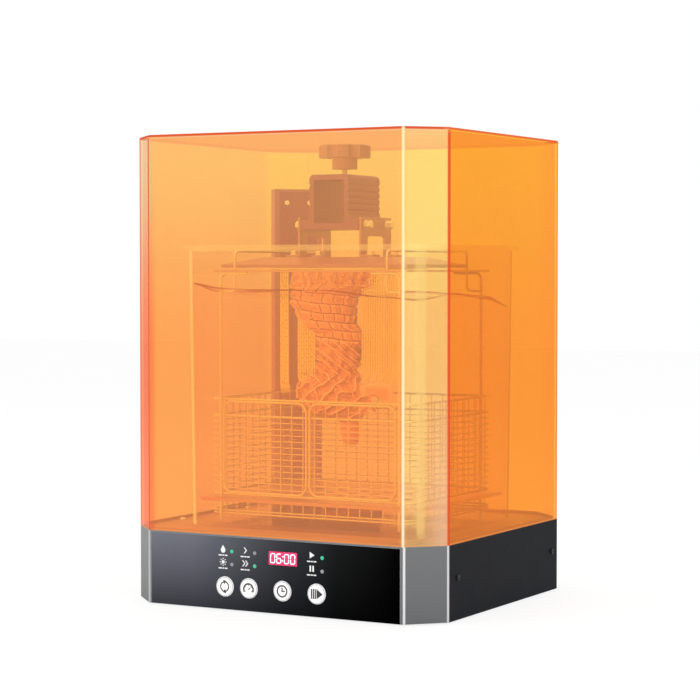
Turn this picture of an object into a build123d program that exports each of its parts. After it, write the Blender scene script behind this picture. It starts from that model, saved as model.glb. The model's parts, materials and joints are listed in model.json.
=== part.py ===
# Wash station for resin prints: an octagonal base with controls and a magnetic stirrer drive, a
# transparent cover, an ultraviolet lamp column, and a wash tank holding a wire basket and a
# clamped build platform with a print. Millimetres; the ground is z = 0, the front faces -Y and
# the right side faces +X. The footprint is centred on the origin.
from build123d import *
import math
import os

os.makedirs("parts", exist_ok=True)

# ---------------------------------------------------------------- driving sizes
WIDTH, DEPTH, HEIGHT = 326.0, 296.0, 435.0
CORNER = 30.0                  # leg of the 45 degree corner chamfers
BASE_TOP = 69.0                # where the cover starts
GROUND = 1.2                   # lower edge of the base shell
FRONT_Y = -DEPTH / 2
FRAME_WALL = 3.5
SHEET = 1.5                    # side, rear and floor sheets
REAR_Y = 145.0                 # outer face of the recessed rear panel
DECK_Z = 68.9                  # top of the deck
DECK_T = 2.0
FLOOR_SHEET_Z = 2.4            # underside of the floor sheet, top of the feet
FLANGE_Z = 4.1                 # underside of the bottom flanges
HOOD_WALL = 3.0

TANK_X, TANK_Y_SIZE = 252.0, 204.0     # tank outside at its rim
TANK_Y = 2.0                   # tank centre in Y
TANK_BASE = DECK_Z + 0.1
TANK_FLOOR = DECK_Z + 4.1      # inner floor
TANK_TOP = 333.5
AXIS = (0.0, TANK_Y)           # stirrer axis

BOARD_Y = -138.7               # front face of the control board
BOARD_T = 1.6
BUTTONS_X = (-49.7, -24.3, 11.1, 46.5)
BUTTON_Z = 22.0
LEDS_AT = ((-42.4, 54.4), (-42.4, 42.5), (-18.1, 54.4), (-18.1, 42.5), (52.1, 54.5), (52.1, 42.4))
DISPLAY_AT = (11.35, 51.2)

# Screw places, as (x, y) unless noted
M3_HOLE = 1.6                  # clearance radius
SIDE_SCREWS_Y = (-101.3, 104.7)
SIDE_SCREW_Z = 38.8
FLANGE_SCREWS = [(x, y) for x in (153, -153) for y in (-60, 60)]
REAR_SCREWS = [(-70, 140), (70, 140)]
BRACKET_SCREWS = [(x, TANK_Y + y) for y in (40, -40) for x in (40, -40)]
BOARD_SCREWS = [(-66, 14), (70, 14), (-66, 60), (70, 60)]     # (x, z)


# ---------------------------------------------------------------- helpers
def octagon(inset):
    """Corners of the footprint octagon moved inwards."""
    x, y = WIDTH / 2 - inset, DEPTH / 2 - inset
    leg = CORNER - inset * (2 - math.sqrt(2))
    return [(-x, -y + leg), (-x + leg, -y), (x - leg, -y), (x, -y + leg),
            (x, y - leg), (x - leg, y), (-x + leg, y), (-x, y - leg)]


def level(z):
    """Horizontal sketch plane."""
    return Plane.XY.offset(z)


def upright(y):
    """Sketch plane in x and z; a positive extrusion goes forwards, towards -Y."""
    return Plane.XZ.offset(-y)


def pair(x, y):
    return [(x, y), (-x, y)]


def edges_at(shape, axis, place):
    return shape.edges().filter_by_position(axis, place - 0.01, place + 0.01)


def rod(points, diameter, bend, close=False):
    """A round wire bent along a polyline with rounded corners."""
    with BuildPart() as wire:
        with BuildLine() as path:
            FilletPolyline(*points, radius=bend, close=close)
        with BuildSketch(path.line ^ 0):
            Circle(diameter / 2)
        sweep()
    return wire.part


# Each screw points along +Z: its head stands on the origin, its shank hangs below
def button_screw(length):
    """M3 button head screw with a hexagon recess."""
    head = 1.6
    with BuildPart() as screw:
        with BuildSketch():
            Circle(2.75)
        extrude(amount=head)
        fillet(edges_at(screw, Axis.Z, head), 1.1)
        with BuildSketch(level(head)):
            RegularPolygon(1.15, 6)
        extrude(amount=-1.0, mode=Mode.SUBTRACT)
        with BuildSketch():
            Circle(1.45)
        extrude(amount=-length)
    return screw.part


def pan_screw(length, shank):
    """Pan head screw with a cross recess; shank is a radius."""
    head = 1.5
    with BuildPart() as screw:
        with BuildSketch():
            Circle(2.4)
        extrude(amount=head)
        fillet(edges_at(screw, Axis.Z, head), 0.7)
        with BuildSketch():
            Circle(shank)
        extrude(amount=-length)
        with BuildSketch(level(head)):
            Rectangle(3, 0.6)
            Rectangle(0.6, 3)
        extrude(amount=-0.8, mode=Mode.SUBTRACT)
    return screw.part


def flange_bolt(length, head=3.3):
    """M4 hexagon bolt with a round flange."""
    with BuildPart() as bolt:
        with BuildSketch():
            Circle(4.4)
        extrude(amount=1.0)
        with BuildSketch(level(0.9)):
            RegularPolygon(4.0, 6)
        extrude(amount=head)
        chamfer(bolt.faces().sort_by(Axis.Z)[-1].edges(), 0.4)
        with BuildSketch():
            Circle(2.0)
        extrude(amount=-length)
    return bolt.part


def save(part, name):
    part.label = name
    export_step(part, "parts/" + name + ".step")


# ================================================================ base shell
FRAME_REACH = 31.0             # how far the front frame runs back
PANEL_W, PANEL_TOP = 260.0, 67.3
PANEL_T = 1.95
POCKET_BOTTOM, POCKET_TOP = GROUND - 0.2, PANEL_TOP + 0.1
TAB_Z, TAB_H = 30.0, 18.0
BEYOND = 170.0                 # x clear of the base, where the side drillings start

# Front frame: flat front and both front chamfers, a pocket for the panel, bosses for the board
with BuildPart() as front_frame:
    with BuildSketch(level(GROUND)):
        with BuildLine():
            Polyline(*octagon(0), close=True)
        make_face()
        with BuildLine():
            Polyline(*octagon(FRAME_WALL), close=True)
        make_face(mode=Mode.SUBTRACT)
        with Locations((0, FRONT_Y + FRAME_REACH / 2)):
            Rectangle(WIDTH + 2, FRAME_REACH, mode=Mode.INTERSECT)
    extrude(amount=BASE_TOP - GROUND)
    chamfer(edges_at(front_frame, Axis.Y, FRONT_Y).filter_by(Axis.Z), 0.9)
    # rear upright edge of each side
    for side in (1, -1):
        side_edges = edges_at(front_frame, Axis.X, side * WIDTH / 2).filter_by(Axis.Z)
        chamfer(side_edges.sort_by(Axis.Y)[-1:], 0.7)
    # pocket for the panel
    with BuildSketch(upright(FRONT_Y)):
        with Locations((0, (POCKET_BOTTOM + POCKET_TOP) / 2)):
            Rectangle(PANEL_W + 0.4, POCKET_TOP - POCKET_BOTTOM)
    extrude(amount=-2.0, mode=Mode.SUBTRACT)
    # openings in the pocket floor
    with BuildSketch(upright(FRONT_Y + 1.9)):
        with Locations(*[(x, BUTTON_Z) for x in BUTTONS_X]):
            Circle(11.5)
        with Locations(*LEDS_AT):
            Circle(2.6)
        with Locations(DISPLAY_AT):
            Rectangle(31, 15)
    extrude(amount=-1.8, mode=Mode.SUBTRACT)
    # bosses for the control board, rooted in the wall
    boss_root = FRONT_Y + FRAME_WALL - 0.2
    with BuildSketch(upright(boss_root)):
        with Locations(*BOARD_SCREWS):
            Circle(3.6)
    extrude(amount=boss_root - BOARD_Y)
    with BuildSketch(upright(BOARD_Y)):
        with Locations(*BOARD_SCREWS):
            Circle(1.3)
    extrude(amount=4.5, mode=Mode.SUBTRACT)
    # tabs behind the side panels for the front side screws, and their roots on the frame
    for x, y, tab_x, tab_y in ((157.6, -106.5, 4.0, 24), (157.6, -117.9, 6.0, 2.4)):
        with BuildSketch(level(TAB_Z)):
            with Locations(*pair(x, y)):
                Rectangle(tab_x, tab_y)
        extrude(amount=TAB_H)
    with BuildSketch(Plane.YZ.offset(-BEYOND)):
        with Locations((SIDE_SCREWS_Y[0], SIDE_SCREW_Z)):
            Circle(1.55)
    extrude(amount=2 * BEYOND, mode=Mode.SUBTRACT)
save(front_frame.part, "front_frame")

# Front panel with button openings, indicator holes and the display opening
with BuildPart() as front_panel:
    with BuildSketch(upright(FRONT_Y)):
        with Locations((0, (GROUND + PANEL_TOP) / 2)):
            Rectangle(PANEL_W, PANEL_TOP - GROUND)
        with Locations(*[(x, BUTTON_Z) for x in BUTTONS_X]):
            Circle(9.4, mode=Mode.SUBTRACT)
        with Locations(*LEDS_AT):
            Circle(1.8, mode=Mode.SUBTRACT)
        with Locations(DISPLAY_AT):
            RectangleRounded(29.9, 12.5, 0.6, mode=Mode.SUBTRACT)
    extrude(amount=-PANEL_T)
save(front_panel.part, "front_panel")

with BuildPart() as display_window:
    with BuildSketch(upright(FRONT_Y)):
        with Locations(DISPLAY_AT):
            RectangleRounded(29.7, 12.3, 0.5)
    extrude(amount=-PANEL_T)
save(display_window.part, "display_window")


def side_panel(side):
    """Side sheet from the front frame round the rear chamfer, with a top and a bottom flange."""
    with BuildPart() as panel:
        with BuildSketch(level(GROUND)):
            with BuildLine():
                Polyline(*octagon(0), close=True)
            make_face()
            with BuildLine():
                Polyline(*octagon(SHEET), close=True)
            make_face(mode=Mode.SUBTRACT)
            with Locations((side * 148, 15.6)):
                Rectangle(31, 265, mode=Mode.INTERSECT)
        extrude(amount=BASE_TOP - 0.1 - GROUND)
        for z in (FLANGE_Z, 65.3):
            with BuildSketch(level(z)):
                with Locations((side * 154.5, 0)):
                    Rectangle(14.6, 160)
            extrude(amount=SHEET)
        # two screw holes in the side, two in each flange
        with BuildSketch(Plane.YZ.offset(side * BEYOND)):
            with Locations(*[(y, SIDE_SCREW_Z) for y in SIDE_SCREWS_Y]):
                Circle(1.7)
        extrude(amount=-side * 12, mode=Mode.SUBTRACT)
        with BuildSketch(level(2)):
            with Locations((side * 153, -60), (side * 153, 60)):
                Circle(M3_HOLE)
        extrude(amount=66, mode=Mode.SUBTRACT)
    return panel.part


save(side_panel(1), "side_panel_right")
save(side_panel(-1), "side_panel_left")

# Power inlet and switch places on the rear panel, as (x, z)
JACK_AT = (-95, 34)
SWITCH_X, SWITCH_Z = 100.0, 34.0
SWITCH_AT = (SWITCH_X, SWITCH_Z)

# Recessed rear panel with louvres, power inlet and switch openings
with BuildPart() as rear_panel:
    with BuildSketch(upright(REAR_Y)):
        with Locations((0, (66.8 + GROUND) / 2)):
            Rectangle(264.6, 66.8 - GROUND)
        with GridLocations(9, 0, 14, 1):
            with Locations((0, 36)):
                SlotOverall(30, 3, rotation=90, mode=Mode.SUBTRACT)
        with Locations(JACK_AT):
            Circle(4.1, mode=Mode.SUBTRACT)
        with Locations(SWITCH_AT):
            Rectangle(19.4, 13.2, mode=Mode.SUBTRACT)
    extrude(amount=SHEET)
    # bottom flange for the floor screws
    with BuildSketch(level(FLANGE_Z)):
        with Locations((0, 139.3)):
            Rectangle(200, 10.4)
    extrude(amount=SHEET)
    with BuildSketch(level(4)):
        with Locations(*REAR_SCREWS):
            Circle(M3_HOLE)
    extrude(amount=2, mode=Mode.SUBTRACT)
save(rear_panel.part, "rear_panel")

# Floor sheet with slots
with BuildPart() as bottom_plate:
    with BuildSketch(level(FLOOR_SHEET_Z)):
        with BuildLine():
            Polyline(*octagon(3.9), close=True)
        make_face()
        # cut back to clear the rear panel
        with Locations((0, REAR_Y - SHEET - 0.1 + 10)):
            Rectangle(WIDTH, 20, mode=Mode.SUBTRACT)
        with GridLocations(12, 44, 8, 2):
            SlotOverall(34, 4, rotation=90, mode=Mode.SUBTRACT)
        with Locations(*FLANGE_SCREWS, *REAR_SCREWS):
            Circle(1.7, mode=Mode.SUBTRACT)
    extrude(amount=SHEET)
save(bottom_plate.part, "bottom_plate")

# Angle brackets on the floor behind the rear side screws
with BuildPart() as corner_brackets:
    for side in (1, -1):
        for x, leg_x, leg_z in ((150.4, 22, 2), (160.3, 2.2, 46)):
            with BuildSketch(level(4.0)):
                with Locations((side * x, SIDE_SCREWS_Y[1])):
                    Rectangle(leg_x, 20)
            extrude(amount=leg_z)
    with BuildSketch(Plane.YZ.offset(-BEYOND)):
        with Locations((SIDE_SCREWS_Y[1], SIDE_SCREW_Z)):
            Circle(1.55)
    extrude(amount=2 * BEYOND, mode=Mode.SUBTRACT)
save(corner_brackets.part, "corner_brackets")

# Deck the tank stands on, with a low upstand that locates the cover
LIP_H = 3.0
LAMP_CABLE_AT = (-112, 96)
with BuildPart() as deck_plate:
    with BuildSketch(level(DECK_Z - DECK_T)):
        # fits inside the side sheets, and further in inside the front frame
        with BuildLine():
            Polyline(*octagon(SHEET + 0.1), close=True)
        make_face()
        with Locations((0, 16)):
            Rectangle(WIDTH, 265, mode=Mode.INTERSECT)
        with BuildLine():
            Polyline(*octagon(FRAME_WALL + 0.1), close=True)
        make_face()
    extrude(amount=DECK_T)
    with BuildSketch(level(DECK_Z)):
        with BuildLine():
            Polyline(*octagon(HOOD_WALL + 0.6), close=True)
        make_face()
        with BuildLine():
            Polyline(*octagon(HOOD_WALL + 2.0), close=True)
        make_face(mode=Mode.SUBTRACT)
    extrude(amount=LIP_H)
    fillet(edges_at(deck_plate, Axis.Z, DECK_Z + LIP_H), 0.5)
    with BuildSketch(level(60)):
        with Locations(*FLANGE_SCREWS):
            Circle(M3_HOLE)
        with Locations(*BRACKET_SCREWS):
            Circle(M3_HOLE)
        with Locations(LAMP_CABLE_AT):
            Circle(4)
    extrude(amount=12, mode=Mode.SUBTRACT)
save(deck_plate.part, "deck_plate")

with BuildPart() as rubber_feet:
    with BuildSketch():
        with GridLocations(252, 216, 2, 2):
            Circle(10)
    extrude(amount=FLOOR_SHEET_Z)
    fillet(edges_at(rubber_feet, Axis.Z, 0), 0.8)
save(rubber_feet.part, "rubber_feet")

# Screws stand this far off the surface they clamp
SEAT = 0.02

side_screw = button_screw(5.5)
with BuildPart() as panel_screws:
    for y in SIDE_SCREWS_Y:
        for side in (1, -1):
            seat_at = (side * (WIDTH / 2 + SEAT), y, SIDE_SCREW_Z)
            add(Plane(origin=seat_at, z_dir=(side, 0, 0)) * side_screw)
save(panel_screws.part, "panel_screws")

deck_screw = button_screw(4.0)
with BuildPart() as deck_screws:
    for x, y in FLANGE_SCREWS:
        add(Pos(x, y, DECK_Z + SEAT) * deck_screw)
save(deck_screws.part, "deck_screws")

floor_screw = button_screw(4.4)
with BuildPart() as bottom_screws:
    for x, y in FLANGE_SCREWS + REAR_SCREWS:
        add(Plane(origin=(x, y, FLOOR_SHEET_Z - SEAT), z_dir=(0, 0, -1)) * floor_screw)
save(bottom_screws.part, "bottom_screws")

# ================================================================ controls
BOARD_FRONT = upright(BOARD_Y)
BOARD_BACK = upright(BOARD_Y + BOARD_T)

with BuildPart() as control_board:
    with BuildSketch(BOARD_FRONT):
        with Locations((2, 37)):
            RectangleRounded(146, 56, 2)
        with Locations(*BOARD_SCREWS):
            Circle(M3_HOLE, mode=Mode.SUBTRACT)
    extrude(amount=-BOARD_T)
    # processor, connectors and capacitors on the rear face
    with BuildSketch(BOARD_BACK):
        with Locations((-20, 36)):
            Rectangle(10, 10)
    extrude(amount=-1.6)
    with BuildSketch(BOARD_BACK):
        with Locations((-50, 18), (0, 18), (30, 18)):
            Rectangle(12, 6)
    extrude(amount=-7)
    with BuildSketch(BOARD_BACK):
        with Locations((50, 40), (50, 52)):
            Circle(4)
    extrude(amount=-12)
save(control_board.part, "control_board")

board_screw = pan_screw(5.5, 1.25)
with BuildPart() as inner_screws:
    for x, z in BOARD_SCREWS:
        add(Plane(origin=(x, BOARD_Y + BOARD_T + SEAT, z), z_dir=(0, 1, 0)) * board_screw)
save(inner_screws.part, "inner_screws")

# Display block on the board, right behind the window
with BuildPart() as display_module:
    with BuildSketch(BOARD_FRONT):
        with Locations(DISPLAY_AT):
            Rectangle(30.1, 14)
    extrude(amount=7.2)
save(display_module.part, "display_module")

with BuildPart() as status_leds:
    with BuildSketch(BOARD_FRONT):
        with Locations(*LEDS_AT):
            Rectangle(3.2, 1.6)
    extrude(amount=0.9)
save(status_leds.part, "status_leds")

# Light pipes from the status lights to the panel
with BuildPart() as indicator_lenses:
    for led_at in LEDS_AT:
        # (distance in front of the board, radius, length)
        for ahead, radius, length in ((0.95, 2.3, 6.3), (7.2, 1.72, 2.25)):
            with BuildSketch(upright(BOARD_Y - ahead)):
                with Locations(led_at):
                    Circle(radius)
            extrude(amount=length)
save(indicator_lenses.part, "indicator_lenses")


def button(x):
    """Round cap in the panel, a retaining flange behind it and a short plunger to the switch."""
    cap_root, cap_length = FRONT_Y + 1.9, 2.7
    with BuildPart() as cap:
        with BuildSketch(upright(cap_root)):
            with Locations((x, BUTTON_Z)):
                Circle(9.2)
        extrude(amount=cap_length)
        fillet(edges_at(cap, Axis.Y, cap_root - cap_length), 0.6)
        # flange, then plunger: (distance behind the front, radius, length)
        for behind, radius, length in ((3.2, 10.8, 1.2), (3.95, 3.0, 0.9)):
            with BuildSketch(upright(FRONT_Y + behind)):
                with Locations((x, BUTTON_Z)):
                    Circle(radius)
            extrude(amount=length)
    return cap.part


for button_x, use in zip(BUTTONS_X, ("mode", "speed", "time", "start")):
    save(button(button_x), "button_" + use)

# Tactile switches on the board, one behind each button
SWITCH_BODY_H = 3.3
with BuildPart() as button_switches:
    for x in BUTTONS_X:
        with BuildSketch(BOARD_FRONT):
            with Locations((x, BUTTON_Z)):
                RectangleRounded(12, 12, 0.8)
        extrude(amount=SWITCH_BODY_H)
        with BuildSketch(upright(BOARD_Y - SWITCH_BODY_H)):
            with Locations((x, BUTTON_Z)):
                Circle(3.4)
        extrude(amount=0.95)
save(button_switches.part, "button_switches")

with BuildPart() as buzzer:
    with BuildSketch(BOARD_BACK):
        with Locations((20, 44)):
            Circle(6)
            Circle(1, mode=Mode.SUBTRACT)
    extrude(amount=-8)
save(buzzer.part, "buzzer")

# ================================================================ drive under the deck
BRACKET_Z, BRACKET_T = 50.0, 2.0
MOTOR_Z = 14.0
ROTOR_HUB_Z, ROTOR_Z, ROTOR_T = 54.0, 57.0, 6.0
ROTOR_TOP = ROTOR_Z + ROTOR_T
STIR_R = 30.0                  # rotor and impeller discs
MAGNETS_AT = pair(20, TANK_Y)
MAGNET_R, MAGNET_T = 6.0, 4.0
MAGNET_POCKET_R = MAGNET_R + 0.05
SHAFT_R = 2.5                  # motor shaft and impeller pivot
SHAFT_HOLE_R = SHAFT_R + 0.05

with BuildPart() as motor_bracket:
    with BuildSketch(level(BRACKET_Z)):
        with Locations(AXIS):
            RectangleRounded(96, 96, 6)
            Circle(6.4, mode=Mode.SUBTRACT)
        with Locations(*pair(12.5, TANK_Y)):
            Circle(M3_HOLE, mode=Mode.SUBTRACT)
    extrude(amount=BRACKET_T)
    with BuildSketch(level(BRACKET_Z + BRACKET_T)):
        with Locations(*BRACKET_SCREWS):
            Circle(5)
    extrude(amount=DECK_Z - DECK_T - BRACKET_Z - BRACKET_T)
    with BuildSketch(level(BRACKET_Z)):
        with Locations(*BRACKET_SCREWS):
            Circle(M3_HOLE)
    extrude(amount=20, mode=Mode.SUBTRACT)
save(motor_bracket.part, "motor_bracket")

bracket_screw = pan_screw(18, 1.45)
with BuildPart() as bracket_screws:
    for x, y in BRACKET_SCREWS:
        add(Plane(origin=(x, y, BRACKET_Z - SEAT), z_dir=(0, 0, -1)) * bracket_screw)
save(bracket_screws.part, "bracket_screws")

with BuildPart() as drive_motor:
    with BuildSketch(level(MOTOR_Z)):
        with Locations(AXIS):
            Circle(17.5)
    extrude(amount=BRACKET_Z - MOTOR_Z)
    chamfer(drive_motor.edges().filter_by(GeomType.CIRCLE), 1.2)
    # collar, then shaft
    for z, radius, length in ((BRACKET_Z, 6.2, 2.6), (BRACKET_Z + 2.6, SHAFT_R, 9.4)):
        with BuildSketch(level(z)):
            with Locations(AXIS):
                Circle(radius)
        extrude(amount=length)
save(drive_motor.part, "drive_motor")

# Rotor disc on the motor shaft, with two pockets for the drive magnets
with BuildPart() as magnet_rotor:
    with BuildSketch(level(ROTOR_HUB_Z)):
        with Locations(AXIS):
            Circle(8)
    extrude(amount=ROTOR_Z - ROTOR_HUB_Z)
    with BuildSketch(level(ROTOR_Z)):
        with Locations(AXIS):
            Circle(STIR_R)
    extrude(amount=ROTOR_T)
    fillet(edges_at(magnet_rotor, Axis.Z, ROTOR_TOP).filter_by(GeomType.CIRCLE), 1)
    with BuildSketch(level(ROTOR_HUB_Z)):
        with Locations(AXIS):
            Circle(SHAFT_HOLE_R)
    extrude(amount=8.2, mode=Mode.SUBTRACT)
    with BuildSketch(level(ROTOR_TOP)):
        with Locations(*MAGNETS_AT):
            Circle(MAGNET_POCKET_R)
    extrude(amount=-4.2, mode=Mode.SUBTRACT)
save(magnet_rotor.part, "magnet_rotor")


def magnets(z):
    """The two stirrer magnets, standing on height z."""
    with BuildPart() as discs:
        with BuildSketch(level(z)):
            with Locations(*MAGNETS_AT):
                Circle(MAGNET_R)
        extrude(amount=MAGNET_T)
    return discs.part


save(magnets(58.85), "drive_magnets")

# ================================================================ power and wiring
# Power inlet: (y of the rear end, radius, length) of the flange and the barrel
JACK_REAR = REAR_Y + 1.5
with BuildPart() as power_jack:
    for radius, length in ((5.6, 1.48), (4.0, 14)):
        with BuildSketch(upright(JACK_REAR)):
            with Locations(JACK_AT):
                Circle(radius)
        extrude(amount=length)
    # hexagon inside the rear panel
    with BuildSketch(upright(REAR_Y - 3.2)):
        with Locations(JACK_AT):
            RegularPolygon(6.0, 6)
    extrude(amount=2.2)
    # socket round a centre pin
    with BuildSketch(upright(JACK_REAR)):
        with Locations(JACK_AT):
            Circle(2.8)
            Circle(1.0, mode=Mode.SUBTRACT)
    extrude(amount=9, mode=Mode.SUBTRACT)
save(power_jack.part, "power_jack")

# Rocker switch: a bezel body with a well, and the rocker on two trunnions
BEZEL_REAR = REAR_Y + 1.6
TRUNNION_AT = (REAR_Y - 1.4, SWITCH_Z)     # (y, z)
with BuildPart() as power_switch_body:
    with BuildSketch(upright(BEZEL_REAR)):
        with Locations(SWITCH_AT):
            RectangleRounded(21, 15, 1)
    extrude(amount=1.58)
    with BuildSketch(upright(REAR_Y + 0.1)):
        with Locations(SWITCH_AT):
            Rectangle(19.2, 13)
    extrude(amount=13)
    with BuildSketch(upright(BEZEL_REAR)):
        with Locations(SWITCH_AT):
            Rectangle(16.4, 10.2)
    extrude(amount=9.6, mode=Mode.SUBTRACT)
    with BuildSketch(Plane.YZ.offset(SWITCH_X - 9.2)):
        with Locations(TRUNNION_AT):
            Circle(1.3)
    extrude(amount=18.4, mode=Mode.SUBTRACT)
save(power_switch_body.part, "power_switch_body")

# Rocker section: (y from the rear panel's face, z from the switch centre)
ROCKER = ((-3.4, -4.3), (1.2, -4.5), (3.8, -4.1), (1.9, 0), (3.8, 4.1), (1.2, 4.5), (-3.4, 4.3))
with BuildPart() as power_rocker:
    with BuildSketch(Plane.YZ.offset(SWITCH_X - 8.0)):
        with BuildLine():
            Polyline(*[(REAR_Y + y, SWITCH_Z + z) for y, z in ROCKER], close=True)
        make_face()
    extrude(amount=16)
    with BuildSketch(Plane.YZ.offset(SWITCH_X - 9.1)):
        with Locations(TRUNNION_AT):
            Circle(1.25)
    extrude(amount=18.2)
save(power_rocker.part, "power_rocker")

# Reed switch board under the deck, below the cover's magnet
with BuildPart() as lid_sensor:
    for size_x, size_y, thickness in ((24, 9, 1.6), (14, 2.4, -2.4)):
        with BuildSketch(level(65.2)):
            with Locations((0, 135)):
                Rectangle(size_x, size_y)
        extrude(amount=thickness)
save(lid_sensor.part, "lid_sensor")

# Looms from the board's connectors: (diameter, bend radius, points)
PLUG_Y, PLUG_Z = -129.9, 18
LOOMS = (
    # to the motor
    (2.6, 4, [(0, PLUG_Y, PLUG_Z), (0, -110, 18), (0, -60, 7), (6, -30, 7), (6, 2, 7),
              (6, 2, 13.8)]),
    # to the deck hole on the left
    (3.0, 4, [(-50, PLUG_Y, PLUG_Z), (-50, -100, 18), (-110, -60, 10), (*LAMP_CABLE_AT, 10),
              (*LAMP_CABLE_AT, 66)]),
    # to the power switch
    (2.6, 3, [(30, PLUG_Y, PLUG_Z), (30, -100, 18), (90, -60, 10), (92, 114, 10), (97, 120, 24),
              (97, 130.2, 30)]),
)
with BuildPart() as cables:
    for diameter, bend, points in LOOMS:
        add(rod(points, diameter, bend))
save(cables.part, "cables")

# ================================================================ ultraviolet lamp column
# The column stands across the back left corner. Its planes have x along the column's width
# and y outwards to the corner.
COLUMN_MID = -8.4              # centre of the column across its width
COLUMN_IN, COLUMN_OUT = 166.5, 193.0
COLUMN_FOOT, COLUMN_TOP = DECK_Z + 0.05, 393.0
LAMP_CAP_T = 3.0


def column_plane(z):
    return Plane(origin=(0, 0, z), x_dir=(math.sqrt(0.5), math.sqrt(0.5), 0), z_dir=(0, 0, 1))


def mirrored(half):
    """Closed outline from its half on the +x side of the column's centre."""
    return ([(COLUMN_MID + x, y) for x, y in half]
            + [(COLUMN_MID - x, y) for x, y in reversed(half)])


def lamp_fixings(recess):
    """Planes of the four window screws, facing into the tank space."""
    planes = []
    for x in (-12, 12):
        for z in (84.05, 379.05):
            plane = column_plane(z)
            seat_at = plane.from_local_coords(Vector(COLUMN_MID + x, COLUMN_IN + recess, 0))
            planes.append(Plane(origin=seat_at, z_dir=plane.y_dir * -1))
    return planes


SHELL_OUTER = mirrored([(25, COLUMN_IN), (25, 181), (16.6, COLUMN_OUT)])
# the hollow opens inwards through a narrower mouth
SHELL_INNER = mirrored([(20, COLUMN_IN - 1), (20, COLUMN_IN + 2.2), (22.6, COLUMN_IN + 2.2),
                        (22.6, 180), (15.4, COLUMN_OUT - 2.4)])
LAMP_CAP = mirrored([(24, COLUMN_IN + 0.2), (24, 181), (16, COLUMN_OUT - 0.5)])

with BuildPart() as lamp_tower_housing:
    with BuildSketch(column_plane(COLUMN_FOOT)):
        with BuildLine():
            Polyline(*SHELL_OUTER, close=True)
        make_face()
        with BuildLine():
            Polyline(*SHELL_INNER, close=True)
        make_face(mode=Mode.SUBTRACT)
    extrude(amount=COLUMN_TOP - COLUMN_FOOT)
    # floor with a round hole, and top cap
    for z in (COLUMN_FOOT, COLUMN_TOP - LAMP_CAP_T):
        with BuildSketch(column_plane(z)):
            with BuildLine():
                Polyline(*LAMP_CAP, close=True)
            make_face()
            if z == COLUMN_FOOT:
                with Locations((COLUMN_MID, 182)):
                    Circle(5, mode=Mode.SUBTRACT)
        extrude(amount=LAMP_CAP_T)
save(lamp_tower_housing.part, "lamp_tower_housing")

# Window: a wide layer behind the mouth and a narrower one in it
with BuildPart() as lamp_window:
    for size_x, outward, thickness in ((44.6, 3.3, 2), (39.4, 1.4, 2.2)):
        with BuildSketch(column_plane(DECK_Z + 3.3)):
            with Locations((COLUMN_MID, COLUMN_IN + outward)):
                Rectangle(size_x, thickness)
        extrude(amount=COLUMN_TOP - DECK_Z - 6.7)
    with Locations(*lamp_fixings(0.2)):
        Hole(M3_HOLE, 12)
save(lamp_window.part, "lamp_window")

with BuildPart() as lamp_board:
    with BuildSketch(column_plane(92)):
        with Locations((COLUMN_MID, COLUMN_IN + 8)):
            Rectangle(34, 1.6)
    extrude(amount=270)
save(lamp_board.part, "lamp_board")

# Two columns of ultraviolet diodes on the board
with BuildPart() as lamp_leds:
    for row in range(14):
        with BuildSketch(column_plane(104 + 18.2 * row)):
            with Locations(*[(COLUMN_MID + x, COLUMN_IN + 6.4) for x in (-9, 9)]):
                Rectangle(5, 1.5)
        extrude(amount=5)
save(lamp_leds.part, "lamp_leds")

lamp_screw = pan_screw(4.6, 1.45)
with BuildPart() as lamp_screws:
    for plane in lamp_fixings(0.25):
        add(plane * lamp_screw)
save(lamp_screws.part, "lamp_screws")

# ================================================================ transparent cover
HOOD_MAGNET_AT = (0, 141)
BOSS_Z = 73.5                  # underside of the magnet boss
with BuildPart() as hood:
    with BuildSketch(level(BASE_TOP)):
        with BuildLine():
            Polyline(*octagon(0), close=True)
        make_face()
    extrude(amount=HEIGHT - BASE_TOP)
    fillet(hood.edges().filter_by(Axis.Z), 2.0)
    fillet(edges_at(hood, Axis.Z, HEIGHT), 1.8)
    with BuildSketch(level(BASE_TOP)):
        with BuildLine():
            Polyline(*octagon(HOOD_WALL), close=True)
        make_face()
    extrude(amount=HEIGHT - BASE_TOP - HOOD_WALL, mode=Mode.SUBTRACT)
    # magnet boss inside the rear wall
    with BuildSketch(level(BOSS_Z)):
        with Locations((0, 141.4)):
            Rectangle(16, 8)
    extrude(amount=9)
    with BuildSketch(level(BOSS_Z)):
        with Locations(HOOD_MAGNET_AT):
            Circle(3.05)
    extrude(amount=3.2, mode=Mode.SUBTRACT)
save(hood.part, "hood")

with BuildPart() as hood_magnet:
    with BuildSketch(level(BOSS_Z + 0.1)):
        with Locations(HOOD_MAGNET_AT):
            Circle(3)
    extrude(amount=3)
save(hood_magnet.part, "hood_magnet")

# ================================================================ wash tank and stirrer
RIM_H = 4.0
with BuildPart() as wash_tank:
    with BuildSketch(level(TANK_BASE)):
        with Locations(AXIS):
            RectangleRounded(TANK_X - 5, TANK_Y_SIZE - 5, 14)
    with BuildSketch(level(TANK_TOP)):
        with Locations(AXIS):
            RectangleRounded(TANK_X, TANK_Y_SIZE, 15)
    loft()
    with BuildSketch(level(TANK_TOP - RIM_H)):
        with Locations(AXIS):
            RectangleRounded(TANK_X + 12, TANK_Y_SIZE + 12, 20)
    extrude(amount=RIM_H)
    fillet(edges_at(wash_tank, Axis.Z, TANK_BASE), 2.5)
    with BuildSketch(level(TANK_FLOOR)):
        with Locations(AXIS):
            RectangleRounded(TANK_X - 10, TANK_Y_SIZE - 10, 11.5)
    with BuildSketch(level(TANK_TOP)):
        with Locations(AXIS):
            RectangleRounded(TANK_X - 5, TANK_Y_SIZE - 5, 12.5)
    loft(mode=Mode.SUBTRACT)
    fillet(edges_at(wash_tank, Axis.Z, TANK_TOP), 0.8)
save(wash_tank.part, "wash_tank")

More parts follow.
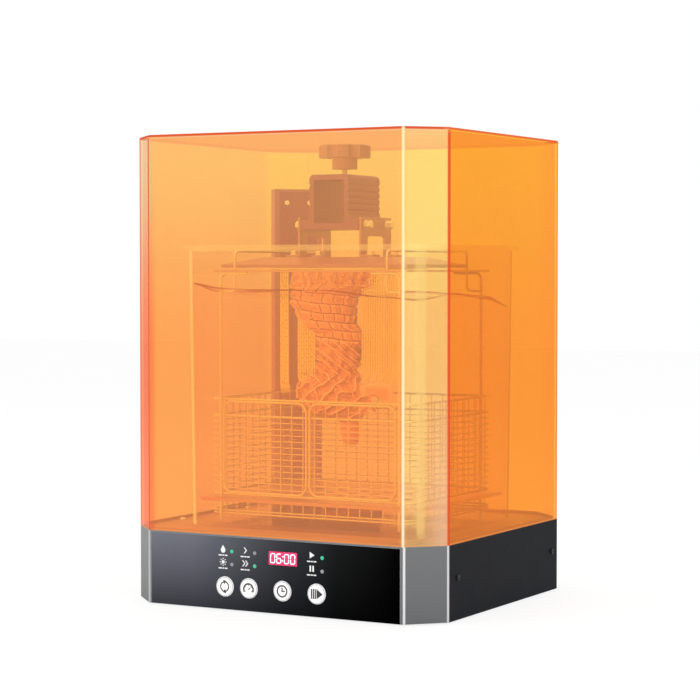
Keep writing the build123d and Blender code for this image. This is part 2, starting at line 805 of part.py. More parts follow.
# Foot and pin the impeller turns on
with BuildPart() as impeller_pivot:
    for radius, length in ((7, 1.6), (SHAFT_R, 13)):
        with BuildSketch(level(TANK_FLOOR)):
            with Locations(AXIS):
                Circle(radius)
        extrude(amount=length)
save(impeller_pivot.part, "impeller_pivot")

IMPELLER_Z = TANK_FLOOR + 1.8
with BuildPart() as impeller:
    # disc, then hub
    for z, radius, length in ((IMPELLER_Z, STIR_R, 5.6), (IMPELLER_Z + 5.6, 6, 7)):
        with BuildSketch(level(z)):
            with Locations(AXIS):
                Circle(radius)
        extrude(amount=length)
    # blades
    for angle in range(0, 360, 60):
        with BuildSketch(level(IMPELLER_Z + 5.4)):
            with Locations(Location(AXIS, angle)):
                with Locations((17, 0)):
                    Rectangle(25, 1.8)
        extrude(amount=6.6)
    with BuildSketch(level(IMPELLER_Z)):
        with Locations(AXIS):
            Circle(SHAFT_HOLE_R)
    extrude(amount=20, mode=Mode.SUBTRACT)
    with BuildSketch(level(IMPELLER_Z)):
        with Locations(*MAGNETS_AT):
            Circle(MAGNET_POCKET_R)
    extrude(amount=4.3, mode=Mode.SUBTRACT)
save(impeller.part, "impeller")

save(magnets(IMPELLER_Z + 0.1), "impeller_magnets")

# ================================================================ wire basket
BASKET_X, BASKET_Y = 107.0, 83.0       # half sizes to the rail's centre line
BASKET_MID = 3.0                       # centre in Y
RAIL = 2.2                             # wire of the main loops
LOOP_BEND = 9
WIRE = 1.0                             # upright mesh wire
GAP = 0.03                             # between neighbouring wires
POST_X, POST_D = 95.0, 2.6
BAIL_X, BAIL_D = 81.0, 2.2
HANGER_Z = 308.5                       # underside of the hanger plate
LOOP_Z = 99.0                          # lower main loop
MESH_STEP = 12

POST_OUT = BASKET_Y + RAIL / 2 + POST_D / 2 + GAP
BAIL_OUT = POST_OUT - (POST_D + BAIL_D) / 2 - GAP
POSTS_Y = (BASKET_MID - POST_OUT, BASKET_MID + POST_OUT)
BAIL_FRONT, BAIL_BACK = BASKET_MID - BAIL_OUT, BASKET_MID + BAIL_OUT
POSTS_AT = [(side * POST_X, y) for side in (1, -1) for y in POSTS_Y]


def basket_loop(grow, z, diameter):
    """Closed basket loop, grown outwards from the main rails."""
    x, y = BASKET_X + grow, BASKET_Y + grow
    front, back = BASKET_MID - y, BASKET_MID + y
    corners = [(-x, front, z), (x, front, z), (x, back, z), (-x, back, z)]
    return rod(corners, diameter, LOOP_BEND, close=True)


def post(x, y):
    """Upright from the tank floor, its top bent inwards under the hanger plate."""
    top = HANGER_Z - 1.35
    elbow = math.copysign(66, x)
    return rod([(x, y, TANK_FLOOR + 0.6), (x, y, top), (elbow, y, top)], POST_D, 6)


# Loops as (z, wire diameter); all are flush on the outside
RAILS = ((188.5, RAIL), (173, RAIL - 0.2), (LOOP_Z, RAIL), (83.4, RAIL - 0.6), (80.6, RAIL - 0.6))
with BuildPart() as basket_frame:
    add([basket_loop((RAIL - wire) / 2, z, wire) for z, wire in RAILS]
        + [post(x, y) for x, y in POSTS_AT])
save(basket_frame.part, "basket_frame")

# Upright mesh wires stand on the loops' outside
MESH_X = BASKET_X + RAIL / 2 + WIRE / 2 + GAP
MESH_Y = BASKET_Y + RAIL / 2 + WIRE / 2 + GAP
uprights_at = [(MESH_STEP * k - 90, BASKET_MID + side * MESH_Y)
               for k in range(16) for side in (1, -1)]
uprights_at += [(side * MESH_X, BASKET_MID - 66 + MESH_STEP * k)
                for k in range(12) for side in (1, -1)]
with BuildPart() as basket_mesh:
    for z, length in ((LOOP_Z, 90), (79.5, 13.2)):
        with BuildSketch(level(z)):
            with Locations(*uprights_at):
                Circle(WIRE / 2)
        extrude(amount=length)
    # level wires inside the uprights
    add([basket_loop(0.65, LOOP_Z + 5.7 * k, WIRE - 0.15) for k in range(1, 13)])
save(basket_mesh.part, "basket_mesh")

# Two rectangular wire frames side by side on the basket's front
FRONT_WIRE = 2.0
FRONT_WIRE_Y = BASKET_MID - MESH_Y - WIRE / 2 - FRONT_WIRE / 2 - GAP
FRAME_CORNERS = ((1.7, 101), (91.5, 101), (91.5, 186.5), (1.7, 186.5))     # (x, z)
with BuildPart() as basket_front_frames:
    for side in (1, -1):
        corners = [(side * x, FRONT_WIRE_Y, z) for x, z in FRAME_CORNERS]
        add(rod(corners, FRONT_WIRE, LOOP_BEND, close=True))
save(basket_front_frames.part, "basket_front_frames")

# Carrying bails, their lower ends bent outwards
BAIL_FOOT_X, BAIL_FOOT_Z, BAIL_TOP = 96, 290, 328.0
with BuildPart() as basket_bails:
    for side in (1, -1):
        x, foot_x = side * BAIL_X, side * BAIL_FOOT_X
        add(rod([(foot_x, BAIL_FRONT, BAIL_FOOT_Z), (x, BAIL_FRONT, BAIL_FOOT_Z),
                 (x, BAIL_FRONT, BAIL_TOP), (x, BAIL_BACK, BAIL_TOP),
                 (x, BAIL_BACK, BAIL_FOOT_Z), (foot_x, BAIL_BACK, BAIL_FOOT_Z)], BAIL_D, 4.5))
save(basket_bails.part, "basket_bails")

# Perforated false floor over the stirrer, with holes for the four posts
with BuildPart() as baffle_plate:
    with BuildSketch(level(93)):
        with Locations(AXIS):
            RectangleRounded(236, 188, 10)
        with Locations(*POSTS_AT):
            Circle(1.75, mode=Mode.SUBTRACT)
        with Locations(AXIS):
            with GridLocations(24, 24, 7, 5):
                Circle(5, mode=Mode.SUBTRACT)
    extrude(amount=3)
save(baffle_plate.part, "baffle_plate")

PLATE_X, PLATE_Y = -1.5, -10.0         # build platform centre
PLATE_AT = (PLATE_X, PLATE_Y)

with BuildPart() as hanger_plate:
    with BuildSketch(level(HANGER_Z)):
        with Locations((0, BASKET_MID)):
            RectangleRounded(210, 178, 8)
        with Locations(PLATE_AT):
            RectangleRounded(150, 104, 8, mode=Mode.SUBTRACT)
        with Locations(*pair(BAIL_X, BAIL_FRONT), *pair(BAIL_X, BAIL_BACK)):
            Circle(2.0, mode=Mode.SUBTRACT)
    extrude(amount=2)
save(hanger_plate.part, "hanger_plate")

# ================================================================ build platform and its clamp
PLATE_Z = 312.5
PLATE_TOP = PLATE_Z + 10
FOOT_BOLT_X, FOOT_BOLT_Y = 41.0, 23.5      # cheek foot bolts from the platform centre
CHEEK_X, CHEEK_T = 33.0, 2.0               # middle of each cheek from the platform centre
CHEEK_Z = PLATE_TOP + 0.05
CHEEK_H, CHEEK_OPENING_H = 37.2, 19.6
ARM_BOLT_Y, ARM_BOLT_Z = 21.0, 353.0       # bolts through cheek and arm
ARM_BOLTS = [(PLATE_Y - ARM_BOLT_Y, ARM_BOLT_Z), (PLATE_Y + ARM_BOLT_Y, ARM_BOLT_Z)]
ARM_LENGTH = 62.0

with BuildPart() as build_plate:
    with BuildSketch(level(PLATE_Z)):
        with Locations(PLATE_AT):
            RectangleRounded(200, 128, 3)
    extrude(amount=3)
    # sloping top
    with BuildSketch(level(PLATE_Z + 3)):
        with Locations(PLATE_AT):
            RectangleRounded(199, 127, 3)
    with BuildSketch(level(PLATE_TOP)):
        with Locations(PLATE_AT):
            RectangleRounded(140, 68, 3)
    loft()
    with BuildSketch(level(PLATE_TOP)):
        with Locations(*[(PLATE_X + sx * FOOT_BOLT_X, PLATE_Y + sy * FOOT_BOLT_Y)
                         for sx in (-1, 1) for sy in (-1, 1)]):
            Circle(2.1)
    extrude(amount=-7, mode=Mode.SUBTRACT)
save(build_plate.part, "build_plate")


def cheek(side):
    """Sheet cheek: an upside-down U with two outward feet, bolted to the plate and to the arm."""
    with BuildPart() as sheet:
        with BuildSketch(Plane.YZ.offset(PLATE_X + side * (CHEEK_X - CHEEK_T / 2))):
            with Locations((PLATE_Y, CHEEK_Z + CHEEK_H / 2)):
                RectangleRounded(60, CHEEK_H, 1.0)
            # opening, run 1 mm past the lower edge
            with Locations((PLATE_Y, CHEEK_Z + (CHEEK_OPENING_H - 1) / 2)):
                Rectangle(34, CHEEK_OPENING_H + 1, mode=Mode.SUBTRACT)
            with Locations(*ARM_BOLTS):
                Circle(2.2, mode=Mode.SUBTRACT)
        extrude(amount=side * CHEEK_T)
        fillet(edges_at(sheet, Axis.Z, CHEEK_Z + CHEEK_OPENING_H).filter_by(Axis.X), 3)
        with BuildSketch(level(CHEEK_Z)):
            with Locations(*[(PLATE_X + side * (CHEEK_X + 7), PLATE_Y + sy * FOOT_BOLT_Y)
                             for sy in (-1, 1)]):
                Rectangle(14, 13)
            with Locations(*[(PLATE_X + side * FOOT_BOLT_X, PLATE_Y + sy * FOOT_BOLT_Y)
                             for sy in (-1, 1)]):
                Circle(2.2, mode=Mode.SUBTRACT)
        extrude(amount=CHEEK_T)
    return sheet.part


save(cheek(1), "clamp_cheek_right")
save(cheek(-1), "clamp_cheek_left")


def arm_sides(x, z):
    """Places on both sides of the arm's centre plane."""
    return [(PLATE_X - x, z), (PLATE_X + x, z)]


# Arm: an extrusion with a square window, ribbed sides and a flared foot between the cheeks
with BuildPart() as arm_block:
    with BuildSketch(upright(PLATE_Y - ARM_LENGTH / 2)):
        with Locations((PLATE_X, 379)):
            RectangleRounded(42, 42, 5)
        with Locations((PLATE_X, 363)):
            Rectangle(42, 14)
        with Locations((PLATE_X, ARM_BOLT_Z)):
            Rectangle(63.4, 9)
        # flare blocks, hollowed by a round
        with Locations(*arm_sides(24.5, 359.7)):
            Rectangle(7, 5)
        with Locations(*arm_sides(26.6, 362.8)):
            Circle(5.3, mode=Mode.SUBTRACT)
        with Locations((PLATE_X, 374.5)):
            RectangleRounded(33, 41, 1.2, mode=Mode.SUBTRACT)
        # grooves between the ribs
        for k in range(5):
            with Locations(*arm_sides(21.5, 366 + 6 * k)):
                Circle(1.5, mode=Mode.SUBTRACT)
    extrude(amount=-ARM_LENGTH)
    with BuildSketch(level(401)):
        with Locations(PLATE_AT):
            Circle(2.55)
    extrude(amount=-8, mode=Mode.SUBTRACT)
    for side in (-1, 1):
        with BuildSketch(Plane.YZ.offset(PLATE_X + side * 33)):
            with Locations(*ARM_BOLTS):
                Circle(2.1)
        extrude(amount=-side * 11, mode=Mode.SUBTRACT)
save(arm_block.part, "arm_block")

arm_bolt = flange_bolt(9.5, head=5.6)
foot_bolt = flange_bolt(7.5)
with BuildPart() as clamp_bolts:
    for side in (1, -1):
        for y, z in ARM_BOLTS:
            seat_at = (PLATE_X + side * (CHEEK_X + CHEEK_T / 2 + 0.03), y, z)
            add(Plane(origin=seat_at, z_dir=(side, 0, 0)) * arm_bolt)
        for y in (-FOOT_BOLT_Y, FOOT_BOLT_Y):
            seat_at = (PLATE_X + side * FOOT_BOLT_X, PLATE_Y + y, CHEEK_Z + CHEEK_T + SEAT)
            add(Pos(*seat_at) * foot_bolt)
save(clamp_bolts.part, "clamp_bolts")

# Clamping knob and its screw
with BuildPart() as knob_screw:
    with BuildSketch(level(394)):
        with Locations(PLATE_AT):
            Circle(2.5)
    extrude(amount=20)
save(knob_screw.part, "knob_screw")

GRIP_Z, GRIP_H = 416.5, 12.3
with BuildPart() as knob:
    with BuildSketch(level(406)):
        with Locations(PLATE_AT):
            Circle(12)
    extrude(amount=10.7)
    # grip with seven scallops
    with BuildSketch(level(GRIP_Z)):
        with Locations(PLATE_AT):
            Circle(24.5)
            with PolarLocations(28.2, 7, start_angle=12):
                Circle(7.2, mode=Mode.SUBTRACT)
    extrude(amount=GRIP_H)
    fillet(edges_at(knob, Axis.Z, GRIP_Z + GRIP_H), 1.6)
    with BuildSketch(level(405)):
        with Locations(PLATE_AT):
            Circle(2.52)
    extrude(amount=9.1, mode=Mode.SUBTRACT)
save(knob.part, "knob")

# ================================================================ printed piece being washed
# Elliptical stations from the platform down:
# (height, centre shift along the piece's diagonal, half width, half depth)
STATIONS = (
    (310.6, -9.5, 40, 29), (297, -11, 40.5, 28.5), (289, -17.5, 33, 26), (281, -20, 30.5, 25),
    (271, -18.3, 28, 23.5), (258, -16, 26.5, 22.5), (250, -6.5, 23.5, 21), (242, -4.6, 22.5, 20),
    (223, -6.5, 20.5, 19.5), (213, -10, 22, 20), (204, -15, 27.5, 22), (194.5, -12.2, 32, 24),
    (185, -9.9, 33.5, 24), (175.4, -8.9, 29, 21), (169.5, -2.5, 20, 15), (165, 4.2, 9.8, 9),
    (149, 5.4, 9, 8.2), (144.4, 5.6, 7, 6.4),
)
DIAG_X, DIAG_Y = 0.875, 0.484          # direction of the piece's diagonal
DIAGONAL = (DIAG_X, DIAG_Y, 0)
# Fin outline: (along the diagonal, height)
FIN = ((8, 199), (24, 201), (40, 202), (46, 198), (46, 184), (40, 182), (24, 190), (8, 187))
FIN_SHIFT = 6                          # fin's middle plane in front of the diagonal
with BuildPart() as sample_print:
    for z, shift, half_width, half_depth in STATIONS:
        centre = (PLATE_X + shift * DIAG_X, PLATE_Y + shift * DIAG_Y, z)
        with BuildSketch(Plane(origin=centre, x_dir=DIAGONAL, z_dir=(0, 0, 1))):
            Ellipse(half_width, half_depth)
    loft(ruled=True)
    # fin standing out to the right
    fin_origin = (PLATE_X + FIN_SHIFT * DIAG_Y, PLATE_Y - FIN_SHIFT * DIAG_X, 0)
    with BuildSketch(Plane(origin=fin_origin, x_dir=DIAGONAL, z_dir=(DIAG_Y, -DIAG_X, 0))):
        with BuildLine():
            Polyline(*FIN, close=True)
        make_face()
    extrude(amount=2.5, both=True)
save(sample_print.part, "sample_print")

# Raft under the platform and the thin support sticks hanging from it
STICKS_AT = ((40, -18), (40, -6), (40, 6), (46, -12), (46, 0), (46, 12),
             (-60, -20), (-60, -8), (-66, -14), (-66, -2))
with BuildPart() as print_supports:
    with BuildSketch(level(310.8)):
        with Locations(PLATE_AT):
            RectangleRounded(136, 88, 6)
    extrude(amount=1.6)
    with BuildSketch(level(311)):
        with Locations(*STICKS_AT):
            Circle(0.9)
    extrude(amount=-100)
save(print_supports.part, "print_supports")
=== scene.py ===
import json
import math
import random
from types import SimpleNamespace

import bmesh
import bpy
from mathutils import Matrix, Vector, noise

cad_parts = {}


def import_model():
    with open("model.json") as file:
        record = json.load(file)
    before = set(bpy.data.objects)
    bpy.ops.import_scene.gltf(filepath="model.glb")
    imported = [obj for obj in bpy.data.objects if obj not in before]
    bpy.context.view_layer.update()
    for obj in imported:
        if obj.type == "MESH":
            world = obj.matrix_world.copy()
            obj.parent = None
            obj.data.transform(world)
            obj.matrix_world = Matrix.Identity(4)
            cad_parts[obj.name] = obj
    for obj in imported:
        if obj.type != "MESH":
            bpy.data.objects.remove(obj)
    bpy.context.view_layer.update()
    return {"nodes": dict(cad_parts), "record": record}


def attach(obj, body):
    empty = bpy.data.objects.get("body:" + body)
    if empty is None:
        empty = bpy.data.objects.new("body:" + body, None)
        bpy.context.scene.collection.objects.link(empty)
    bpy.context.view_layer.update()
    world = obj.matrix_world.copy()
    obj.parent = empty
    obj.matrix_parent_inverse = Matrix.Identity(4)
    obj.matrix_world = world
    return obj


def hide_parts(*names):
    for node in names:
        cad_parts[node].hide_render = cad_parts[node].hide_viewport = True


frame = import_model()
nodes = frame["nodes"]
scene = bpy.context.scene
random.seed(7)

MM = 0.001
FRONT_Y = -148.0                    # front face of the control panel, mm
HOOD_X, HOOD_Y = 0.163, 0.148       # half width and half depth of the hood, m
HOOD_CUT = 0.030                    # how far its corners are cut back, m
CUT_X, CUT_Y = HOOD_X - HOOD_CUT, HOOD_Y - HOOD_CUT
DIAG_X, DIAG_Y = 0.875, 0.484       # direction of the diagonal the print is laid out on
FLOOR = 73.0                        # inside floor of the tank, mm
TANK_TOP = 333.5
LIQUID_Z = 286.0                    # mean liquid level, mm
TANK_Y = 2.0                        # the tank's centre sits this far back, mm
BUTTON_Z = 22.0
BUTTONS = (                         # node, centre X in mm, symbol, symbol scale
    ("button_mode", -49.7, "cycle", 1.95),
    ("button_speed", -24.3, "gauge", 1.95),
    ("button_time", 11.1, "clock", 1.95),
    ("button_start", 46.5, "play", 1.4),
)


# ------------------------------------------------------------------ material nodes
class Material:
    """A material's node tree with short calls. Values may be numbers, colours or sockets."""

    def __init__(self, name):
        self.data = bpy.data.materials.new(name)
        self.data.use_nodes = True
        self.tree = self.data.node_tree
        self.tree.nodes.clear()
        self.output = self.node("OutputMaterial")

    def node(self, kind, **settings):
        node = self.tree.nodes.new("ShaderNode" + kind)
        for key, value in settings.items():
            setattr(node, key, value)
        return node

    def put(self, socket, value):
        if hasattr(value, "is_output"):
            self.tree.links.new(value, socket)
        elif isinstance(value, tuple) and len(value) == 3 and socket.type == "RGBA":
            socket.default_value = (*value, 1)
        else:
            socket.default_value = value

    def math(self, operation, a, b=0.0, c=None):
        node = self.node("Math", operation=operation)
        self.put(node.inputs[0], a)
        self.put(node.inputs[1], b)
        if c is not None:
            self.put(node.inputs[2], c)
        return node.outputs[0]

    def mul(self, a, b):
        return self.math("MULTIPLY", a, b)

    def add(self, a, b):
        return self.math("ADD", a, b)

    def sub(self, a, b):
        return self.math("SUBTRACT", a, b)

    def max(self, a, b):
        return self.math("MAXIMUM", a, b)

    def abs(self, a):
        return self.math("ABSOLUTE", a)

    def invert(self, a):
        return self.sub(1.0, a)

    def scaled(self, a, scale, base):
        """a * scale + base."""
        return self.math("MULTIPLY_ADD", a, scale, base)

    def fade(self, value, start, end, low=0.0, high=1.0, smooth=False):
        """low up to start, running to high at end."""
        node = self.node("MapRange")
        node.interpolation_type = "SMOOTHSTEP" if smooth else "LINEAR"
        for i, item in enumerate((value, start, end, low, high)):
            self.put(node.inputs[i], item)
        return node.outputs[0]

    def fade_out(self, value, start, end):
        return self.fade(value, start, end, 1.0, 0.0)

    def distance(self, x, y, to_x, to_y):
        dx = self.sub(x, to_x)
        dy = self.sub(y, to_y)
        return self.math("SQRT", self.add(self.mul(dx, dx), self.mul(dy, dy)))

    def near_line(self, x, y, line, full, gone):
        """1 within full metres of the upright line at (x, y), fading to 0 at gone."""
        return self.fade(self.distance(x, y, *line), full, gone, 1.0, 0.0, smooth=True)

    def mix(self, factor, a, b):
        node = self.node("Mix", data_type="RGBA")
        self.put(node.inputs[0], factor)
        self.put(node.inputs[6], a)
        self.put(node.inputs[7], b)
        return node.outputs[2]

    def ramp(self, factor, stops):
        node = self.node("ValToRGB")
        elements = node.color_ramp.elements
        while len(elements) < len(stops):
            elements.new(0.5)
        for element, (position, color) in zip(elements, stops):
            element.position = position
            element.color = (*color, 1)
        self.put(node.inputs[0], factor)
        return node.outputs[0]

    def brighten(self, color, value):
        node = self.node("HueSaturation")
        self.put(node.inputs["Color"], color)
        self.put(node.inputs["Value"], value)
        return node.outputs[0]

    def position(self):
        return self.node("TexCoord").outputs["Object"]

    def xyz(self, vector=None):
        node = self.node("SeparateXYZ")
        self.put(node.inputs[0], vector or self.position())
        return node.outputs

    def noise(self, scale, detail, rough=0.55, vector=None):
        node = self.node("TexNoise")
        self.put(node.inputs["Vector"], vector or self.position())
        node.inputs["Scale"].default_value = scale
        node.inputs["Detail"].default_value = detail
        node.inputs["Roughness"].default_value = rough
        return node.outputs["Fac"]

    def bump(self, height, strength, distance, normal=None):
        node = self.node("Bump")
        node.inputs["Strength"].default_value = strength
        node.inputs["Distance"].default_value = distance
        self.put(node.inputs["Height"], height)
        if normal is not None:
            self.put(node.inputs["Normal"], normal)
        return node.outputs[0]

    def rounded_normal(self, radius):
        node = self.node("Bevel", samples=4)
        node.inputs["Radius"].default_value = radius
        return node.outputs[0]

    def edge_mask(self, rounded, low=0.02, high=0.25):
        """1 near sharp edges and 0 on flats, from the rounded normal against the true one."""
        dot = self.node("VectorMath", operation="DOT_PRODUCT")
        self.put(dot.inputs[0], rounded)
        self.put(dot.inputs[1], self.node("NewGeometry").outputs["True Normal"])
        return self.fade(self.invert(dot.outputs["Value"]), low, high)

    def inside_light(self, color, amount, direct=0.7):
        """Painted light: emission a piece shows only while it is seen through the clear walls,
        stronger on faces turned towards light_from.
        """
        light_from = (-0.46, -0.62, 0.64)
        path = self.node("LightPath")
        behind = self.math("GREATER_THAN", path.outputs["Transparent Depth"], 0.5)
        seen = self.mul(path.outputs["Is Camera Ray"], behind)
        dot = self.node("VectorMath", operation="DOT_PRODUCT")
        self.put(dot.inputs[0], self.node("NewGeometry").outputs["Normal"])
        dot.inputs[1].default_value = light_from
        facing = self.fade(dot.outputs["Value"], -0.5, 1.0, 1.0 - direct, 1.0)
        strength = self.mul(self.mul(seen, amount), facing)
        return {"Emission_Color": color, "Emission_Strength": strength}

    def facing(self):
        """0 seen straight on, 1 at a grazing angle."""
        node = self.node("LayerWeight")
        node.inputs["Blend"].default_value = 0.5
        return node.outputs["Facing"]

    def fresnel(self, facing, power, scale, base):
        return self.scaled(self.math("POWER", facing, power), scale, base)

    def bsdf(self, color, roughness, metallic=0.0, normal=None, **inputs):
        node = self.node("BsdfPrincipled")
        self.put(node.inputs["Base Color"], color)
        self.put(node.inputs["Roughness"], roughness)
        self.put(node.inputs["Metallic"], metallic)
        if normal is not None:
            self.put(node.inputs["Normal"], normal)
        for key, value in inputs.items():
            self.put(node.inputs[key.replace("_", " ")], value)
        return node.outputs[0]

    def emission(self, color=None):
        node = self.node("Emission")
        if color is not None:
            self.put(node.inputs["Color"], color)
        node.inputs["Strength"].default_value = 1.0
        return node.outputs[0]

    def mix_shaders(self, factor, a, b):
        node = self.node("MixShader")
        for i, item in enumerate((factor, a, b)):
            self.put(node.inputs[i], item)
        return node.outputs[0]

    def clear(self, tint, gloss, gloss_color, roughness, normal=None, layers=()):
        """Thin clear sheet: tinted pass-through under a gloss, then (colour, factor) layers
        of light shown to the camera only."""
        through = self.node("BsdfTransparent")
        self.put(through.inputs["Color"], tint)
        glossy = self.node("BsdfGlossy")
        self.put(glossy.inputs["Color"], gloss_color)
        self.put(glossy.inputs["Roughness"], roughness)
        if normal is not None:
            self.put(glossy.inputs["Normal"], normal)
        shader = self.mix_shaders(gloss, through.outputs[0], glossy.outputs[0])
        if layers:
            camera_ray = self.node("LightPath").outputs["Is Camera Ray"]
        for color, factor in layers:
            shader = self.mix_shaders(self.mul(factor, camera_ray), shader, self.emission(color))
        return self.finish(shader)

    def finish(self, shader):
        self.put(self.output.inputs["Surface"], shader)
        return self.data


# ------------------------------------------------------------------ amber hood
def hood_parts(mat, x, y, z):
    """Masks for the hood's walls, its cut corners and its top."""
    wall_y = mat.fade_out(y, -0.1465, -0.1440)
    front = mat.mul(wall_y, mat.fade_out(mat.abs(x), 0.1325, 0.1345))
    right = mat.fade(x, 0.1590, 0.1602)
    front_right = mat.mul(
        mat.fade(mat.sub(x, y), 0.2705, 0.2765),
        mat.mul(mat.fade_out(x, 0.1622, 0.1628), mat.fade(y, -0.1478, -0.1472)))
    front_left = mat.mul(
        mat.fade(mat.add(x, y), -0.2705, -0.2765),
        mat.mul(mat.fade(x, -0.1628, -0.1622), mat.fade(y, -0.1478, -0.1472)))
    rear = mat.max(mat.fade(y, 0.1440, 0.1455), mat.fade(mat.sub(y, x), 0.2705, 0.2765))
    near = mat.max(mat.max(front, right), mat.max(front_right, front_left))
    top = mat.mul(mat.fade(z, 0.4312, 0.4322), mat.invert(near))
    path = mat.node("LightPath")
    first = mat.math("LESS_THAN", path.outputs["Transparent Depth"], 1.5)
    # the camera takes the wall it meets first as the near one, other rays go by place
    toward = mat.fade(path.outputs["Is Camera Ray"], 0.0, 1.0, low=near, high=first)
    height = mat.fade(z, 0.23, 0.43, smooth=True)
    return SimpleNamespace(right=right, rear=rear, front_right=front_right, near=near, top=top,
                           front_left=front_left, first=first, toward=toward, height=height)


def hood_tint(mat, part):
    """Pass-through colour with painted light and shade: pale on the far walls, deeper on the near
    ones, set apart per wall and with height.
    """
    def upward(low, high):
        return mat.mix(part.height, low, high)

    away = mat.mix(part.rear, upward((1.0, 0.88, 0.68), (1.0, 0.905, 0.70)),
                   upward((1.0, 0.93, 0.64), (1.0, 0.965, 0.62)))
    toward = upward((0.995, 0.735, 0.40), (0.995, 0.875, 0.56))
    for mask, low, high in (
        (part.right, (0.985, 0.63, 0.15), (0.985, 0.70, 0.115)),
        (part.front_right, (1.0, 0.99, 0.74), (1.0, 0.985, 0.68)),
        (part.front_left, (0.98, 0.40, 0.26), (0.90, 0.87, 0.80)),
    ):
        toward = mat.mix(mask, toward, upward(low, high))
    tint = mat.mix(part.toward, away, toward)
    tint = mat.mix(part.top, tint, (0.985, 0.885, 0.80))
    flow = mat.noise(5.0, detail=2, rough=0.5)
    return mat.mix(mat.mul(flow, 0.05), tint, (1.0, 0.72, 0.42))


def hood_painted_glow(mat, part, x, z):
    """Colour and factor of a painted glow over the sheet, shown to the camera only and set per wall
    and with height, with a painted pink highlight low on the front-right cut corner.
    """
    pink_highlight = mat.mul(mat.fade(x, 0.141, 0.1605, smooth=True),
                    mat.fade(z, 0.08, 0.26, 1.0, 0.0, smooth=True))
    painted_glow = mat.mix(part.height, (1.0, 0.37, 0.17), (1.0, 0.42, 0.20))
    painted_glow = mat.mix(part.right, painted_glow, (1.0, 0.30, 0.045))
    painted_glow = mat.mix(part.front_right, painted_glow, mat.mix(pink_highlight, (1.0, 0.50, 0.24), (0.98, 0.56, 0.38)))
    left = mat.mix(part.height, (0.98, 0.22, 0.12), (0.95, 0.52, 0.34))
    painted_glow = mat.mix(part.front_left, painted_glow, left)
    painted_glow = mat.mix(part.top, painted_glow, (1.0, 0.45, 0.20))
    factor = mat.scaled(mat.mul(part.toward, mat.invert(part.top)), scale=0.205,
                        base=mat.scaled(part.top, scale=0.05, base=0.02))
    factor = mat.mul(factor, mat.scaled(mat.noise(3.0, detail=2), scale=0.2, base=0.9))
    return painted_glow, mat.add(factor, mat.mul(mat.mul(part.front_right, pink_highlight), 0.20))


def hood_gloss(mat, facing, z):
    """Reflection amount, dropped inside the top and on faces of the top seen from above."""
    gloss = mat.fresnel(facing, power=5.0, scale=0.5, base=0.018)
    core = mat.mul(mat.fade(z, 0.4308, 0.4316), mat.fade_out(z, 0.4346, 0.4349))
    gloss = mat.mul(gloss, mat.invert(core))
    incoming_z = mat.xyz(mat.node("NewGeometry").outputs["Incoming"])[2]
    below = mat.mul(mat.fade(z, 0.4308, 0.4316), mat.fade_out(incoming_z, -0.01, 0.0))
    return mat.mul(gloss, mat.invert(below))


def hood_joints(mat, part, x, y, z):
    """Red amount, glow colour and glow factor of the corner joints, the rim and the skirt. The
    bright line down the near front corner, its halo, the skirt line and the rear-left corner's glow
    are painted highlights.
    """
    def joint(line_x, line_y, full, gone):
        return mat.near_line(x, y, (line_x, line_y), full, gone)

    bright = joint(CUT_X, -HOOD_Y, 0.0007, 0.0021)
    halo = joint(CUT_X, -HOOD_Y, 0.0020, 0.0042)
    right = joint(HOOD_X, -CUT_Y, 0.0012, 0.0025)
    left = joint(-HOOD_X, -CUT_Y, 0.0016, 0.0040)
    front_left = joint(-CUT_X, -HOOD_Y, 0.0007, 0.0017)
    rear_right = joint(HOOD_X, CUT_Y, 0.0012, 0.0028)
    rear_left = joint(-CUT_X, HOOD_Y, 0.0005, 0.0016)

    rim = mat.fade(z, 0.4318, 0.4334, smooth=True)
    near_rim = mat.mul(mat.mul(rim, part.near), mat.scaled(part.right, scale=-0.45, base=1.0))
    side = mat.max(mat.abs(mat.math("DIVIDE", x, HOOD_X)), mat.abs(mat.math("DIVIDE", y, HOOD_Y)))
    cut = mat.math("DIVIDE", mat.add(mat.abs(x), mat.abs(y)), HOOD_X + CUT_Y)
    rim = mat.mul(rim, mat.fade(mat.max(side, cut), 0.984, 0.993))
    skirt = mat.fade(mat.abs(mat.sub(z, 0.0697)), 0.0002, 0.0011, low=0.8, high=0.0)

    red = mat.max(mat.max(mat.mul(right, 0.9), mat.mul(left, 0.75)),
                  mat.max(mat.mul(rear_right, 0.55), mat.mul(front_left, 0.80)))
    red = mat.max(mat.mul(red, mat.fade(z, 0.4300, 0.4306, low=1.0, high=0.7)), mat.mul(rim, 0.8))
    red = mat.max(mat.mul(red, mat.scaled(part.first, scale=0.75, base=0.25)),
                  mat.mul(near_rim, 0.95))

    glow = mat.mix(red, mat.mix(rear_left, (0.99, 0.42, 0.14), (1.0, 0.88, 0.5)),
                   (0.72, 0.055, 0.010))
    bright_color = mat.mix(mat.fade(z, 0.30, 0.12), (1.0, 0.93, 0.50), (1.0, 0.90, 0.62))
    glow = mat.mix(mat.math("POWER", bright, 0.7), glow, bright_color)
    factor = mat.max(mat.mul(skirt, 0.35), mat.mul(rear_left, 0.22))
    for mask, amount in ((red, 0.76), (halo, 0.22), (bright, 0.90)):
        factor = mat.max(mat.mul(mask, amount), factor)
    return red, glow, factor


def amber_hood():
    mat = Material("amber_acrylic")
    x, y, z = mat.xyz()
    part = hood_parts(mat, x, y, z)
    facing = mat.facing()
    tint = hood_tint(mat, part)
    grazing = mat.fade(facing, 0.86, 0.99, low=0.0, high=0.30, smooth=True)
    tint = mat.mix(grazing, tint, (0.98, 0.42, 0.16))
    red, glow, glow_factor = hood_joints(mat, part, x, y, z)
    tint = mat.mix(red, tint, (0.92, 0.14, 0.03))
    haze = mat.noise(900.0, detail=3, rough=0.5)
    return mat.clear(tint, hood_gloss(mat, facing, z), gloss_color=(1, 0.86, 0.62),
                     roughness=mat.scaled(haze, scale=0.03, base=0.02),
                     layers=(hood_painted_glow(mat, part, x, z), (glow, glow_factor)))


